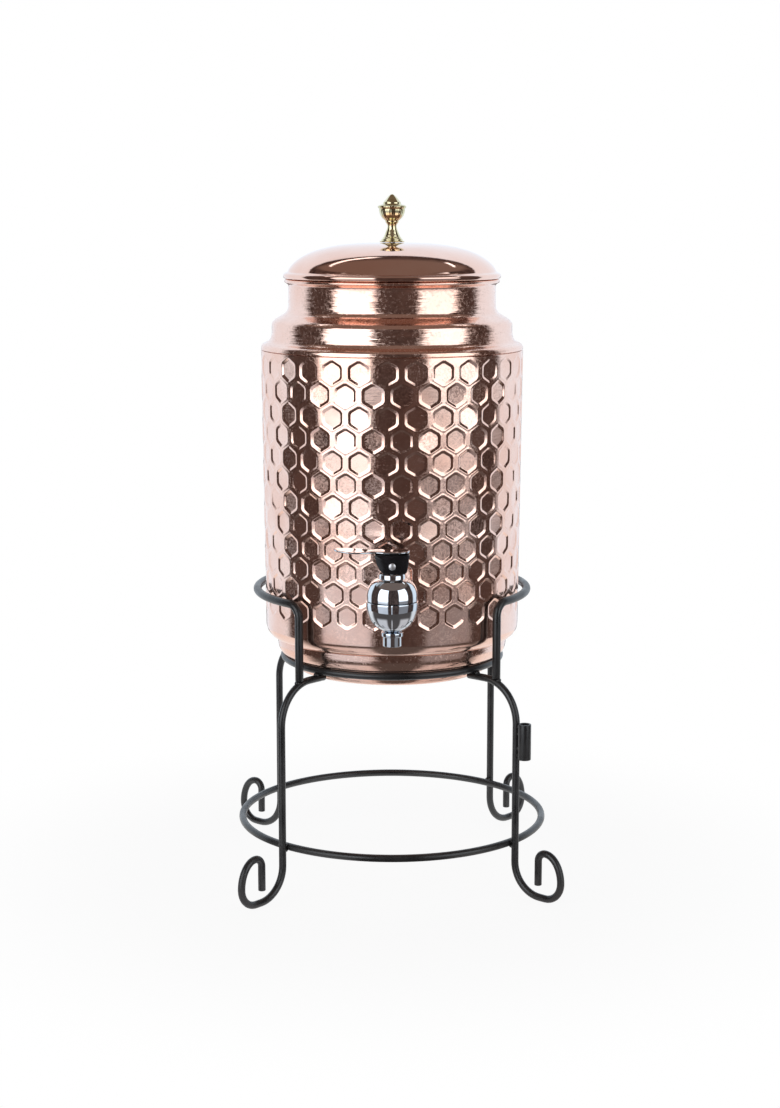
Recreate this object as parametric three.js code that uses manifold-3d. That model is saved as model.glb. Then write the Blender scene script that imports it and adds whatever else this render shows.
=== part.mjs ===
// A five litre copper water dispenser: an embossed pot with a lift-off lid and a lever tap, in a bent rod stand.
// Millimetres, +Z up, floor at z = 0. Heights are measured from the floor. Azimuths start at the front (-Y)
// and run towards +X.
import * as THREE from 'three';
import { mergeVertices } from 'three/addons/utils/BufferGeometryUtils.js';
import Module from 'manifold-3d';

const wasm = await Module();
wasm.setup();

// Fits shared by all pieces
const seatGap = 0.3; // left where one piece rests on, or is brazed or welded to, another
const slideGap = 0.6; // left around a piece that slides or turns in another
const overrun = 5; // how far a cutter passes what it cuts

// Pot: a foot pan, an embossed barrel and a shoulder with the neck, all of one sheet
const sheet = 1.2;
const potTurn = -2; // degrees from the front to a column of cells
const barrelFootRadius = 88;
const barrelTaper = 2; // how much wider the barrel is at its top
const barrelLength = 190; // from the foot's rounding to the top edge
const barrelFootRounding = 9.4;
const barrelWall = 2;
const bandInset = 8.1; // of the pan's band from the barrel
const panFootInset = 6.4; // of the pan's foot from the support ring's centreline
const panDrop = 8.4; // of the pan's foot under the support ring's centreline
const footRounding = 5.2;
const footSideGap = 0.9; // between the pan's foot and the inside of the support ring
const bandRise = 11.3; // from the support ring's centreline to the end of the band's rounding
const barrelFootRise = 12.3; // from there to the end of the barrel's rounding
const panSkirt = 5; // of the pan's wall that stands inside the barrel
const shoulderFlare = 7.5;
const shoulderWall = 10.3;
const shoulderSlopeRise = 6.8; // from the wall up to the neck
const shoulderEasing = 4; // along both sides of the corners where the slope meets wall and neck
const shoulderSkirt = 7;
const neckInset = 19; // of the neck from the barrel's top edge
const neckRise = 46.7; // from the shoulder's edge to the top of the rolled bead
const beadRadius = 2;

// Honeycomb pressed into the barrel
const cellRows = 12;
const cellColumns = 30;
const cellFlats = 13.9;
const cellDepth = 1;
const cellEndBevel = 1.2; // past the tips of the first and last rows
const cellRowPitch = 14.73;
const cellTopMargin = 10; // from the barrel's top edge to the middle of the first row

// Stand: four bent rod legs with scroll feet, two rings, a rail round the pot and a socket for a holder
const rodDiameter = 5;
const standTurn = 3.5; // degrees that the stand is turned under the pot
const legRadius = 111.5;
const legTipGap = 1.2; // between the leg's tip and the pan's foot
const legBendReach = 27; // of the bend from the leg's level top into its upright
const legBendDrop = 28;
const footSweepRadius = 21;
const footFlat = 5; // level run of rod that stands on the floor
const scrollRadius = 13;
const scrollRise = 18.3;
const curlRadius = 6;
const scrollTail = 16.5;
const supportRingInset = 4.3; // from the pan's band
const supportRingHeight = 152.2;
const lowerRingHeight = 35.6;
const railDiameter = 5.6;
const railPlay = 1.2; // between the rail and the barrel's widest edge
const railRise = 47.4; // of the rail over the support ring
const railBendRadius = 9;
const socketDiameter = 8.8;
const socketWall = 1.3;
const socketLength = 24.5;
const socketFoot = 95.8; // height of its lower end
const legPlaceShares = { front_right: 0.125, front_left: -0.125, back_right: 0.375, back_left: -0.375 }; // of a turn

// Lid: a spun dome with a turned edge, a collar that drops into the neck, and a finial on a screw
const lidOverhang = 3.3; // past the neck's wall
const lidFlange = 1.6; // width of the level edge round the dome
const lidEdge = 2.6;
const domeRise = 21.3;
const domeFulnessShare = 2.9; // power of the dome's superellipse across it, 2 for an ellipse
const domeSteepnessShare = 1.6; // its power upwards, less than 2 where the dome leaves its foot at a slant
const collarDepth = 8.5;
const knobHeight = 32.4;
const knobCupRadius = 9;
const knobBaseRadius = 8.5;
const screwRadius = 2;
const screwReach = 11; // into the finial
const screwHeadRadius = 4;
const screwHead = 2.4;
const screwHeadFaceShare = 0.7; // of the head's radius that stays flat
const screwTip = 0.8; // left under the end of the finial's hole
const knobWasherRadius = 6.5;
const knobWasher = 1;

// Tap: a chromed bowl on a shank, a bonnet, and a lever whose cam lifts the stem and its seat cup
const tapReach = 27; // from the barrel's wall to the stem's axis
const shankRise = 26.7; // of the shank's axis over the end of the barrel's foot rounding
const shankRadius = 7.8;
const shankWall = 3.4;
const shankInside = 11; // of the shank past the barrel's inner wall
const flangeLap = 3.2; // of the flange past the shank
const flangeThickness = 2.6;
const washerLap = 1; // of the washers past the flange
const washerThickness = 2;
const nutFlats = 22;
const nutThickness = 6;
const bowlRadius = 17;
const bowlRimRise = 8.9; // over the shank's axis
const bowlDepth = 20.4; // from the rim to the nozzle's collar
const bowlFulnessShare = 2.3;
const bowlFootShare = 0.86; // of the quarter turn, where the nozzle's collar cuts the bowl off
const bowlWall = 5.5;
const bowlFloor = 4.2; // over the nozzle's collar
const seatLip = 1; // width and height of the raised seat round the outlet
const chamberChamfer = 2;
const nozzleRadius = 6.2;
const nozzleWall = 2;
const nozzleLength = 6.6;
const nozzleCollar = 2.6;
const nozzleCollarLap = 1;
const bonnetStep = 0.4; // of the bonnet's foot in from the bowl's rim
const bonnetRise = 15; // of its shoulder over the bowl's rim
const bonnetNeckRadius = 8.8;
const bonnetNeckRise = 3.1; // to the level face that the cam runs on
const bonnetSpigot = 3.5; // threaded into the bowl
const bonnetWall = 2.2;
const bonnetFulnessShare = 2.6;
const bonnetTopShare = 0.7; // of the quarter turn, where the neck cuts the dome off
const stemRadius = 2.4;
const stemEyeWall = 1.2;
const stemEyeThickness = 5;
const cupLap = 1.2; // of the seat cup past the raised seat
const cupHeight = 6;
const cupChamfer = 1;
const springGap = 1.9; // between the spring's wire and the stem
const springWire = 1;
const springTurns = 5;
const springWasherRadius = 7;
const springWasher = 0.8;

// Lever: a black hub with the cam, a chromed paddle on it and the pin that it tilts on
const pinRise = 5.4; // over the face that the cam runs on
const pinRadius = 2.1;
const camRate = 3; // rise of the stem for each radian of tilt
const camTurn = 52; // degrees that the cam's curve spans
const hubTopWidth = 20.6;
const hubRise = 7.5; // of the hub's top over the pin
const hubDepth = 15;
const hubShoulder = 1; // above the pin, where the cam's side turns upright
const paddleThickness = 1.8;
const paddleReach = 36.5; // from the stem's axis to the tip
const paddleHeadLength = 11;
const paddleHeadDepth = 16;
const paddleTongueDepth = 17.5;
const paddleWaistDepth = 11.5;
const paddleMiddleShare = 0.55; // of the tongue's length, where it is widest
const roundedEndShare = 0.75; // of its handles' reach, where a Bezier curve's rounded end lies

// Radii that follow the barrel's, from the top of the pot down
const barrelTopRadius = barrelFootRadius + barrelTaper;
const neckRadius = barrelTopRadius - neckInset;
const lidRadius = neckRadius + lidOverhang;
const domeRadius = lidRadius - lidFlange;
const bandRadius = barrelFootRadius - bandInset;
const supportRingRadius = bandRadius - supportRingInset;
const panFootRadius = supportRingRadius - panFootInset;
const railRadius = barrelTopRadius + railPlay + railDiameter / 2;

// Heights that follow the support ring's, from its seat up
const baseHeight = supportRingHeight - panDrop;
const bandHeight = supportRingHeight + bandRise;
const barrelFoot = bandHeight + barrelFootRise;
const barrelTop = barrelFoot + barrelLength;
const shoulderEdge = barrelTop + seatGap + sheet;
const rimHeight = shoulderEdge + neckRise;
const railHeight = supportRingHeight + railRise;

// The tap's heights follow its shank's, and its radii those of the piece that they fit
const shankHeight = barrelFoot + shankRise;
const bowlRim = shankHeight + bowlRimRise;
const bowlFoot = bowlRim - bowlDepth;
const chamberFloor = bowlFoot + bowlFloor;
const nozzleEnd = bowlFoot - nozzleCollar - nozzleLength;
const bonnetShoulder = bowlRim + bonnetRise;
const bonnetTop = bonnetShoulder + bonnetNeckRise;
const pinHeight = bonnetTop + pinRise;
const hubHeight = pinHeight + hubRise;
const shankBore = shankRadius - shankWall;
const flangeRadius = shankRadius + flangeLap;
const washerRadius = flangeRadius + washerLap;
const nozzleBore = nozzleRadius - nozzleWall;
const chamberRadius = bowlRadius - bowlWall;
const bonnetRadius = bowlRadius - bonnetStep;
const cupRadius = nozzleBore + seatLip + cupLap;
const springRadius = stemRadius + springGap + springWire / 2;
const stemEyeRadius = pinRadius + seatGap + stemEyeWall;

// Facets
const rodSides = 6;
const ringSegments = 30;
const shellSegments = 30;
const smallSegments = 16;
const tinySegments = 12;
const bendSteps = 4;
const camSteps = 6;
const springSides = 4;
const springSteps = 8; // for each turn

// Colours and finishes
const copper = { color: 0xd99a80, roughness: 0.22, metalness: 1 };
const ironBlack = { color: 0x1d1d20, roughness: 0.42, metalness: 0.4 };
const chrome = { color: 0xd6d9dc, roughness: 0.08, metalness: 1 };
const brass = { color: 0xd8bd74, roughness: 0.25, metalness: 1 };
const steel = { color: 0xb9bcc0, roughness: 0.35, metalness: 1 };
const blackPlastic = { color: 0x141418, roughness: 0.35, metalness: 0 };
const rubber = { color: 0x26262a, roughness: 0.8, metalness: 0 };
const silicone = { color: 0xe4e2dc, roughness: 0.6, metalness: 0 };

// Helpers

function point(x, y) {
  return new THREE.Vector2(x, y);
}

// Points on an elliptic arc, from one angle to another in degrees
function arc(centreX, centreY, reach, rise, fromDegrees, toDegrees, steps = bendSteps) {
  return Array.from({ length: steps + 1 }, (_, i) => {
    const angle = THREE.MathUtils.degToRad(fromDegrees + ((toDegrees - fromDegrees) * i) / steps);
    return point(centreX + reach * Math.cos(angle), centreY + rise * Math.sin(angle));
  });
}

// Points on a quarter of a superellipse, from its widest point up or down to its pole or to a share of the turn
function quarterDome(radius, start, rise, power, steps, endShare = 1, risePower = power) {
  return Array.from({ length: steps + 1 }, (_, i) => {
    const angle = (Math.PI / 2) * endShare * (i / steps);
    const across = radius * Math.abs(Math.cos(angle)) ** (2 / power);
    return point(across, start + rise * Math.sin(angle) ** (2 / risePower));
  });
}

// The curve that eases a profile's corner, from a distance before it to the same distance past it
function easedCorner(before, corner, after, reach, steps) {
  const start = before.clone().sub(corner).setLength(reach).add(corner);
  const end = after.clone().sub(corner).setLength(reach).add(corner);
  return new THREE.QuadraticBezierCurve(start, corner, end).getPoints(steps);
}

// A profile moved to the left of its own direction by a wall thickness
function offsetProfile(points, wall) {
  return points.map((here, i) => {
    const before = points[Math.max(i - 1, 0)];
    const after = points[Math.min(i + 1, points.length - 1)];
    const arriving = here.clone().sub(i > 0 ? before : after).multiplyScalar(i > 0 ? 1 : -1).normalize();
    const leaving = after.clone().sub(here);
    const direction = i < points.length - 1 ? leaving.normalize() : arriving;
    const across = point(-arriving.y - direction.y, arriving.x + direction.x).normalize();
    const lengthening = across.dot(point(-arriving.y, arriving.x));
    return here.clone().addScaledVector(across, wall / lengthening);
  });
}

function signedVolume(geometry) {
  const places = geometry.attributes.position;
  const order = geometry.index;
  const corners = [new THREE.Vector3(), new THREE.Vector3(), new THREE.Vector3()];
  let sum = 0;
  for (let i = 0; i < order.count; i += 3) {
    corners.forEach((corner, k) => corner.fromBufferAttribute(places, order.getX(i + k)));
    sum += corners[0].dot(corners[1].clone().cross(corners[2]));
  }
  return sum / 6;
}

// A closed surface with shared corners and its faces pointing out
function closedSurface(geometry) {
  const bare = geometry.clone();
  bare.deleteAttribute('normal');
  bare.deleteAttribute('uv');
  const merged = mergeVertices(bare);
  const order = Array.from(merged.index.array);
  const faces = [];
  for (let i = 0; i < order.length; i += 3) {
    const [a, b, c] = order.slice(i, i + 3);
    if (a !== b && b !== c && c !== a) faces.push(a, b, c);
  }
  merged.setIndex(faces);
  if (signedVolume(merged) < 0) merged.setIndex(faces.reverse());
  return merged;
}

// A profile in radius and height, turned about the vertical axis
function turned(profile, segments = shellSegments, turnDegrees = 0) {
  const geometry = new THREE.LatheGeometry(profile, segments, THREE.MathUtils.degToRad(turnDegrees));
  return closedSurface(geometry.rotateX(Math.PI / 2));
}

// A ring or tube from a profile that closes on itself
function turnedRing(profile, segments, turnDegrees) {
  return turned([...profile, profile[0].clone()], segments, turnDegrees);
}

function tube(outerRadius, innerRadius, bottom, top, segments = smallSegments, turnDegrees = 0) {
  const profile = [point(outerRadius, bottom), point(outerRadius, top)];
  return turnedRing([...profile, point(innerRadius, top), point(innerRadius, bottom)], segments, turnDegrees);
}

// A round bar along Y, from one place to another
function barAlongY(radius, from, to, height, segments = smallSegments) {
  const bar = new THREE.CylinderGeometry(radius, radius, Math.abs(to - from), segments);
  return closedSurface(bar.translate(0, (from + to) / 2, height));
}

// A flat outline in x and z, extruded along Y about y = 0
function plateAcrossY(outline, depth) {
  const plate = new THREE.ExtrudeGeometry(new THREE.Shape(outline), { depth, bevelEnabled: false });
  return closedSurface(plate.translate(0, 0, -depth / 2).rotateX(Math.PI / 2));
}

function solidOf(geometry) {
  const closed = closedSurface(geometry);
  const vertProperties = new Float32Array(closed.attributes.position.array);
  const triVerts = new Uint32Array(closed.index.array);
  return new wasm.Manifold(new wasm.Mesh({ numProp: 3, vertProperties, triVerts }));
}

function geometryOf(solid) {
  const mesh = solid.getMesh();
  const geometry = new THREE.BufferGeometry();
  const places = new Float32Array(mesh.numVert * 3);
  for (let i = 0; i < mesh.numVert; i += 1) {
    for (let k = 0; k < 3; k += 1) places[i * 3 + k] = mesh.vertProperties[i * mesh.numProp + k];
  }
  geometry.setAttribute('position', new THREE.BufferAttribute(places, 3));
  geometry.setIndex(Array.from(mesh.triVerts));
  return geometry;
}

// One geometry with others added to it and cut from it
function carved(base, added, removed) {
  const whole = added.reduce((solid, geometry) => solid.add(solidOf(geometry)), solidOf(base));
  const rest = removed.reduce((solid, geometry) => solid.subtract(solidOf(geometry)), whole);
  return geometryOf(rest);
}

function piece(name, geometry, finish) {
  const withNormals = geometry.index ? geometry.toNonIndexed() : geometry;
  withNormals.computeVertexNormals();
  const mesh = new THREE.Mesh(withNormals, new THREE.MeshStandardMaterial(finish));
  mesh.name = name;
  return mesh;
}

// A rod's centreline through stations, where each bend has its own count and each straight run one step
class BentRod extends THREE.Curve {
  constructor(stations) {
    super();
    this.stations = stations;
  }

  getPoint(t, target = new THREE.Vector3()) {
    const place = t * (this.stations.length - 1);
    const from = Math.min(Math.floor(place), this.stations.length - 2);
    return target.lerpVectors(this.stations[from], this.stations[from + 1], place - from);
  }

  getPointAt(u, target) {
    return this.getPoint(u, target);
  }

  getTangentAt(u, target = new THREE.Vector3()) {
    const last = this.stations.length - 1;
    const at = Math.round(u * last);
    const arriving = this.stations[Math.max(at, 1)].clone().sub(this.stations[Math.max(at, 1) - 1]);
    const leaving = this.stations[Math.min(at + 1, last)].clone().sub(this.stations[Math.min(at, last - 1)]);
    return target.copy(arriving.normalize()).add(leaving.normalize()).normalize();
  }
}

// The section of a rod, with its flats at the rod's true diameter on all sides that touch something
function rodSection(diameter, sides = rodSides, turnDegrees = 180 / sides) {
  const cornerRadius = diameter / 2 / Math.cos(Math.PI / sides);
  return Array.from({ length: sides }, (_, i) => {
    const angle = THREE.MathUtils.degToRad(turnDegrees) + (i * 2 * Math.PI) / sides;
    return point(cornerRadius * Math.cos(angle), cornerRadius * Math.sin(angle));
  });
}

function bentRod(stations, section) {
  const settings = { steps: stations.length - 1, extrudePath: new BentRod(stations), bevelEnabled: false };
  return closedSurface(new THREE.ExtrudeGeometry(new THREE.Shape(section), settings));
}

// Stand

const rodRadius = rodDiameter / 2;
const legTop = supportRingHeight - rodDiameter - seatGap; // centreline of the leg's level top, under the ring
const footHeight = rodRadius;

// Centreline of a leg in its own upright plane: radius from the axis, height
function legPath() {
  const uprightTop = legTop - legBendDrop;
  const sweepCentre = legRadius + footSweepRadius;
  const scrollCentre = sweepCentre + footFlat;
  const scrollWaist = footHeight + scrollRadius;
  const curlHeight = scrollWaist + scrollRise - curlRadius;
  return [
    point(panFootRadius + legTipGap, legTop),
    ...arc(legRadius - legBendReach, uprightTop, legBendReach, legBendDrop, 90, 0),
    ...arc(sweepCentre, footHeight + footSweepRadius, footSweepRadius, footSweepRadius, 180, 270),
    ...arc(scrollCentre, scrollWaist, scrollRadius, scrollRadius, -90, 0),
    ...arc(scrollCentre, scrollWaist, scrollRadius, scrollRise, 0, 90).slice(1),
    ...arc(scrollCentre, curlHeight, curlRadius, curlRadius, 90, 180, bendSteps - 1).slice(1),
    point(scrollCentre - curlRadius, curlHeight - scrollTail),
  ];
}

// Height of a leg's centreline at a radius along its top
function legHeight(radius) {
  const path = legPath();
  const next = path.findIndex(({ x }) => x > radius);
  const share = (radius - path[next - 1].x) / (path[next].x - path[next - 1].x);
  return THREE.MathUtils.lerp(path[next - 1].y, path[next].y, share);
}

function leg(name, placeShare) {
  const angle = 2 * Math.PI * placeShare;
  const stations = legPath().map(({ x, y }) => new THREE.Vector3(x * Math.sin(angle), -x * Math.cos(angle), y));
  return piece(`leg_${name}`, bentRod(stations, rodSection(rodDiameter)), ironBlack);
}

function rodRing(name, radius, height) {
  const profile = rodSection(rodDiameter, rodSides, 0).map(({ x, y }) => point(radius + x, height + y));
  return piece(name, turnedRing(profile, ringSegments), ironBlack);
}

// The rail stands on both front legs, bends back and runs round the pot's back at one height
function cradleRail() {
  const riserFoot = legHeight(railRadius - railDiameter / 2) + rodRadius + seatGap;
  const frontAngle = 2 * Math.PI * legPlaceShares.front_right;
  const onRail = (angle, height) =>
    new THREE.Vector3(railRadius * Math.sin(angle), -railRadius * Math.cos(angle), height);
  const bend = arc(0, railHeight - railBendRadius, railBendRadius, railBendRadius, 180, 90).map(({ x, y }) =>
    onRail(frontAngle + (x + railBendRadius) / railRadius, y),
  );
  const roundBack = Math.PI * 2 - 2 * (frontAngle + railBendRadius / railRadius);
  const hoopSteps = Math.round((ringSegments * roundBack) / (2 * Math.PI));
  const hoop = Array.from({ length: hoopSteps - 1 }, (_, i) =>
    onRail(frontAngle + railBendRadius / railRadius + (roundBack * (i + 1)) / hoopSteps, railHeight),
  );
  const half = [onRail(frontAngle, riserFoot), ...bend];
  const otherHalf = half.map(({ x, y, z }) => new THREE.Vector3(-x, y, z)).reverse();
  return piece('cradle_rail', bentRod([...half, ...hoop, ...otherHalf], rodSection(railDiameter)), ironBlack);
}

function holderSocket() {
  const socket = tube(socketDiameter / 2, socketDiameter / 2 - socketWall, socketFoot, socketFoot + socketLength, tinySegments);
  const mesh = piece('holder_socket', socket, ironBlack);
  const reach = legRadius + rodRadius + seatGap + socketDiameter / 2;
  const angle = 2 * Math.PI * legPlaceShares.front_right;
  mesh.position.set(reach * Math.sin(angle), -reach * Math.cos(angle), 0);
  mesh.rotation.z = angle;
  return mesh;
}

function stand() {
  const group = new THREE.Group();
  Object.entries(legPlaceShares).forEach(([name, placeShare]) => group.add(leg(name, placeShare)));
  group.add(rodRing('support_ring', supportRingRadius, supportRingHeight));
  group.add(rodRing('lower_ring', legRadius - rodDiameter - seatGap, lowerRingHeight));
  group.add(cradleRail(), holderSocket());
  group.rotation.z = THREE.MathUtils.degToRad(standTurn);
  return group;
}

// Pot

const barrelInside = barrelTopRadius - barrelWall;

function barrelRadius(height) {
  const taperShare = (height - barrelFoot) / (barrelTop - barrelFoot);
  return THREE.MathUtils.lerp(barrelFootRadius, barrelTopRadius, THREE.MathUtils.clamp(taperShare, 0, 1));
}

// The pan's foot stands inside the support ring and its rounding rests on the ring's top
function potBase() {
  const seat = supportRingHeight + rodRadius + seatGap;
  const seatEdge = supportRingRadius - rodRadius * Math.tan(Math.PI / rodSides) - seatGap / 2;
  const supportRingInside = supportRingRadius - rodRadius - footSideGap;
  const outside = [
    point(0, baseHeight),
    ...arc(panFootRadius - footRounding, baseHeight + footRounding, footRounding, footRounding, -90, 0, 2),
    ...arc(seatEdge, supportRingHeight, seatEdge - supportRingInside, rodRadius + seatGap, 180, 90, 2),
    ...arc(supportRingRadius, bandHeight, bandRadius - supportRingRadius, bandHeight - seat, -90, 0, 2).slice(1),
    point(bandRadius, bandHeight + panSkirt),
  ];
  const inside = offsetProfile(outside, sheet).reverse();
  return piece('pot_base', turned([...outside, ...inside], shellSegments, potTurn), copper);
}

// Collects corners and faces of a surface given by azimuth, radius and height
class Surface {
  constructor() {
    this.places = [];
    this.faces = [];
  }

  corner(azimuth, radius, height) {
    this.places.push(radius * Math.sin(azimuth), -radius * Math.cos(azimuth), height);
    return this.places.length / 3 - 1;
  }

  ring(radius, height) {
    const pitch = (2 * Math.PI) / cellColumns;
    const phase = THREE.MathUtils.degToRad(potTurn);
    return Array.from({ length: cellColumns }, (_, i) => this.corner(phase + i * pitch, radius, height));
  }

  quad(a, b, c, d) {
    this.faces.push(a, b, c, a, c, d);
  }

  // A band between two rings of equally many corners, the first one above when the band faces out
  band(upper, lower) {
    upper.forEach((corner, i) => {
      const next = (i + 1) % upper.length;
      this.quad(corner, lower[i], lower[next], upper[next]);
    });
  }

  geometry() {
    const geometry = new THREE.BufferGeometry();
    geometry.setAttribute('position', new THREE.Float32BufferAttribute(this.places, 3));
    geometry.setIndex(this.faces);
    return geometry;
  }
}

// Ridge corners round the barrel, one at each cell's tip and one between neighbours, half a pitch apart
function ridgeLine(surface, rowIndex) {
  const pitch = (2 * Math.PI) / cellColumns;
  const middle = barrelTop - cellTopMargin - rowIndex * cellRowPitch;
  const columnPitch = pitch * barrelTopRadius;
  const slope = Math.PI / 6;
  const halfDiagonal = (columnPitch * Math.sin(slope) + 2 * cellRowPitch * Math.cos(slope)) / 4;
  const tipRise = halfDiagonal / Math.cos(slope);
  const endRise = cellFlats / 2 / Math.cos(slope) + cellEndBevel;
  const isFirst = rowIndex === 0;
  const isLast = rowIndex === cellRows;
  return Array.from({ length: 2 * cellColumns }, (_, i) => {
    const isTip = (i + rowIndex) % 2 === 0;
    const rise = isTip ? tipRise : cellRowPitch - tipRise;
    const lastRise = isTip ? rise : cellRowPitch - endRise;
    const height = middle + (isFirst && isTip ? endRise : isLast ? lastRise : rise);
    const azimuth = THREE.MathUtils.degToRad(potTurn) + (i * pitch) / 2;
    return surface.corner(azimuth, barrelRadius(height), height);
  });
}

// One pressed cell between two ridge lines: a sunk level floor and six sloping sides
function pressedCell(surface, above, below, middle, height) {
  const around = 2 * cellColumns;
  const azimuth = THREE.MathUtils.degToRad(potTurn) + (middle * Math.PI) / cellColumns;
  const left = (middle + around - 1) % around;
  const right = (middle + 1) % around;
  const ridge = [above[middle], above[left], below[left], below[middle], below[right], above[right]];
  const tip = cellFlats / Math.sqrt(3);
  const floor = ridge.map((_, i) => {
    const angle = Math.PI / 2 + (i * Math.PI) / 3;
    const level = height + tip * Math.sin(angle);
    const across = (tip * Math.cos(angle)) / barrelTopRadius;
    return surface.corner(azimuth + across, barrelRadius(level) - cellDepth, level);
  });
  surface.quad(floor[0], floor[1], floor[2], floor[3]);
  surface.quad(floor[0], floor[3], floor[4], floor[5]);
  ridge.forEach((corner, i) => surface.quad(corner, ridge[(i + 1) % 6], floor[(i + 1) % 6], floor[i]));
}

// Plain wall between a ridge line and a plain ring, which has a corner at every second one of the line
function joinToRing(surface, line, ring, ringIsAbove) {
  ring.forEach((corner, i) => {
    const next = (i + 1) % ring.length;
    const between = line[2 * i + 1];
    const faces = [corner, line[2 * i], between, corner, between, ring[next], ring[next], between, line[2 * next]];
    surface.faces.push(...(ringIsAbove ? faces : faces.reverse()));
  });
}

// The barrel's wall with its honeycomb, rounded in at the foot until it grips the pan
function potBarrel() {
  const surface = new Surface();
  const lines = Array.from({ length: cellRows + 1 }, (_, i) => ridgeLine(surface, i));
  for (let i = 0; i < cellRows; i += 1) {
    const height = barrelTop - cellTopMargin - i * cellRowPitch;
    for (let j = 0; j < cellColumns; j += 1) {
      pressedCell(surface, lines[i], lines[i + 1], 2 * j + (i % 2), height);
    }
  }
  const centre = barrelFootRadius - barrelFootRounding;
  const innerRounding = barrelFootRounding - barrelWall;
  const lipDegrees = -THREE.MathUtils.radToDeg(Math.acos((bandRadius + seatGap - centre) / innerRounding));
  const outside = arc(centre, barrelFoot, barrelFootRounding, barrelFootRounding, 0, lipDegrees, 3);
  const inside = arc(centre, barrelFoot, innerRounding, innerRounding, lipDegrees, 0, 2);
  const outerRings = outside.map(({ x, y }) => surface.ring(x, y));
  const innerRings = inside.map(({ x, y }) => surface.ring(x, y));
  const outerTop = surface.ring(barrelTopRadius, barrelTop);
  const innerTop = surface.ring(barrelInside, barrelTop);
  joinToRing(surface, lines[0], outerTop, true);
  joinToRing(surface, lines[cellRows], outerRings[0], false);
  const loop = [...outerRings, ...innerRings, innerTop, outerTop];
  loop.slice(1).forEach((ring, i) => surface.band(loop[i], ring));
  const hole = barAlongY(shankRadius + seatGap, -barrelTopRadius - overrun, 0, shankHeight);
  return piece('pot_barrel', carved(surface.geometry(), [], [hole]), copper);
}

// Shoulder and neck: a flare that sits on the barrel, an eased step, a plain neck and a rolled bead
function potShoulder() {
  const skirtRadius = barrelInside - seatGap;
  const flareTop = shoulderEdge + shoulderFlare;
  const wallTop = flareTop + shoulderWall;
  const wallRadius = barrelTopRadius - shoulderFlare;
  const flare = arc(barrelTopRadius, flareTop, shoulderFlare, shoulderFlare, -90, -180, 2);
  const step = [
    point(wallRadius, flareTop),
    point(wallRadius, wallTop),
    point(neckRadius, wallTop + shoulderSlopeRise),
    point(neckRadius, rimHeight),
  ];
  const [innerFlareTop, innerWallTop, innerNeckFoot, innerRim] = offsetProfile(step, sheet);
  const innerEasing = shoulderEasing / 2; // a chamfer that keeps the sheet's thickness
  const beadCentre = neckRadius - sheet + beadRadius;
  const beadHeight = rimHeight - beadRadius;
  const beadStart = -THREE.MathUtils.radToDeg(Math.acos((neckRadius - beadCentre) / beadRadius));
  const innerFlare = shoulderFlare + sheet;
  const skirtInside = skirtRadius - sheet;
  const flareMeetsSkirt = -THREE.MathUtils.radToDeg(Math.acos((skirtInside - barrelTopRadius) / innerFlare));
  const skirtEnd = shoulderEdge - sheet - shoulderSkirt;
  const profile = [
    point(skirtRadius, skirtEnd),
    point(skirtRadius, shoulderEdge - sheet),
    point(barrelTopRadius, shoulderEdge - sheet),
    ...flare,
    ...easedCorner(step[0], step[1], step[2], shoulderEasing, 2),
    ...easedCorner(step[1], step[2], step[3], shoulderEasing, 2),
    ...arc(beadCentre, beadHeight, beadRadius, beadRadius, beadStart, 180, 3),
    ...easedCorner(innerRim, innerNeckFoot, innerWallTop, innerEasing, 1),
    ...easedCorner(innerNeckFoot, innerWallTop, innerFlareTop, innerEasing, 1),
    ...arc(barrelTopRadius, flareTop, innerFlare, innerFlare, -180, flareMeetsSkirt, 2),
    point(skirtInside, skirtEnd),
  ];
  return piece('pot_shoulder', turnedRing(profile, shellSegments, potTurn), copper);
}

// Lid

const lidSeat = rimHeight + seatGap;
const lidApex = lidSeat + lidEdge + domeRise;
const collarRadius = neckRadius - sheet - slideGap;
const collarInside = collarRadius - sheet;

function spunDome(radius, rise, steps) {
  const foot = lidSeat + lidEdge;
  return quarterDome(radius, foot, rise, domeFulnessShare, steps, 1, domeSteepnessShare).slice(0, -1);
}

// The dome stands on a level edge, which reaches in under it as far as the collar that it carries
function lidShell() {
  const edgeTop = lidSeat + lidEdge;
  const boreRadius = screwRadius + seatGap;
  const profile = [
    point(collarInside, lidSeat),
    point(lidRadius, lidSeat),
    point(lidRadius, edgeTop),
    ...spunDome(domeRadius, domeRise, 6),
    point(boreRadius, lidApex),
    point(boreRadius, lidApex - sheet),
    ...spunDome(domeRadius - sheet, domeRise - sheet, 4).reverse(),
    point(collarInside, edgeTop),
  ];
  return piece('lid_shell', turnedRing(profile, shellSegments, potTurn), copper);
}

function lidCollar() {
  const top = lidSeat - seatGap;
  const collar = tube(collarRadius, collarInside, top - collarDepth, top, shellSegments, potTurn);
  return piece('lid_collar', collar, copper);
}

// Finial: bell foot, waist, cup with a rim, and a pointed bud, as shares of its height and cup radius
function lidKnob() {
  const foot = lidApex + seatGap;
  const outlineShares = [
    [0.8, 0.03], [0.74, 0.11], [0.5, 0.21], [0.36, 0.3], [0.37, 0.38], [0.66, 0.5], [0.82, 0.62],
    [0.98, 0.74], [1, 0.78], [0.7, 0.81], [0.6, 0.84], [0.62, 0.87], [0.36, 0.95],
  ];
  const hole = screwRadius + seatGap;
  const holeEnd = foot + screwReach + screwTip;
  const profile = [
    point(0, holeEnd),
    point(hole, holeEnd),
    point(hole, foot),
    point(knobBaseRadius, foot),
    ...outlineShares.map(([across, up]) => point(across * knobCupRadius, foot + up * knobHeight)),
    point(0, foot + knobHeight),
  ];
  return piece('lid_knob', turned(profile, tinySegments), brass);
}

const lidInside = lidApex - sheet;

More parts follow.
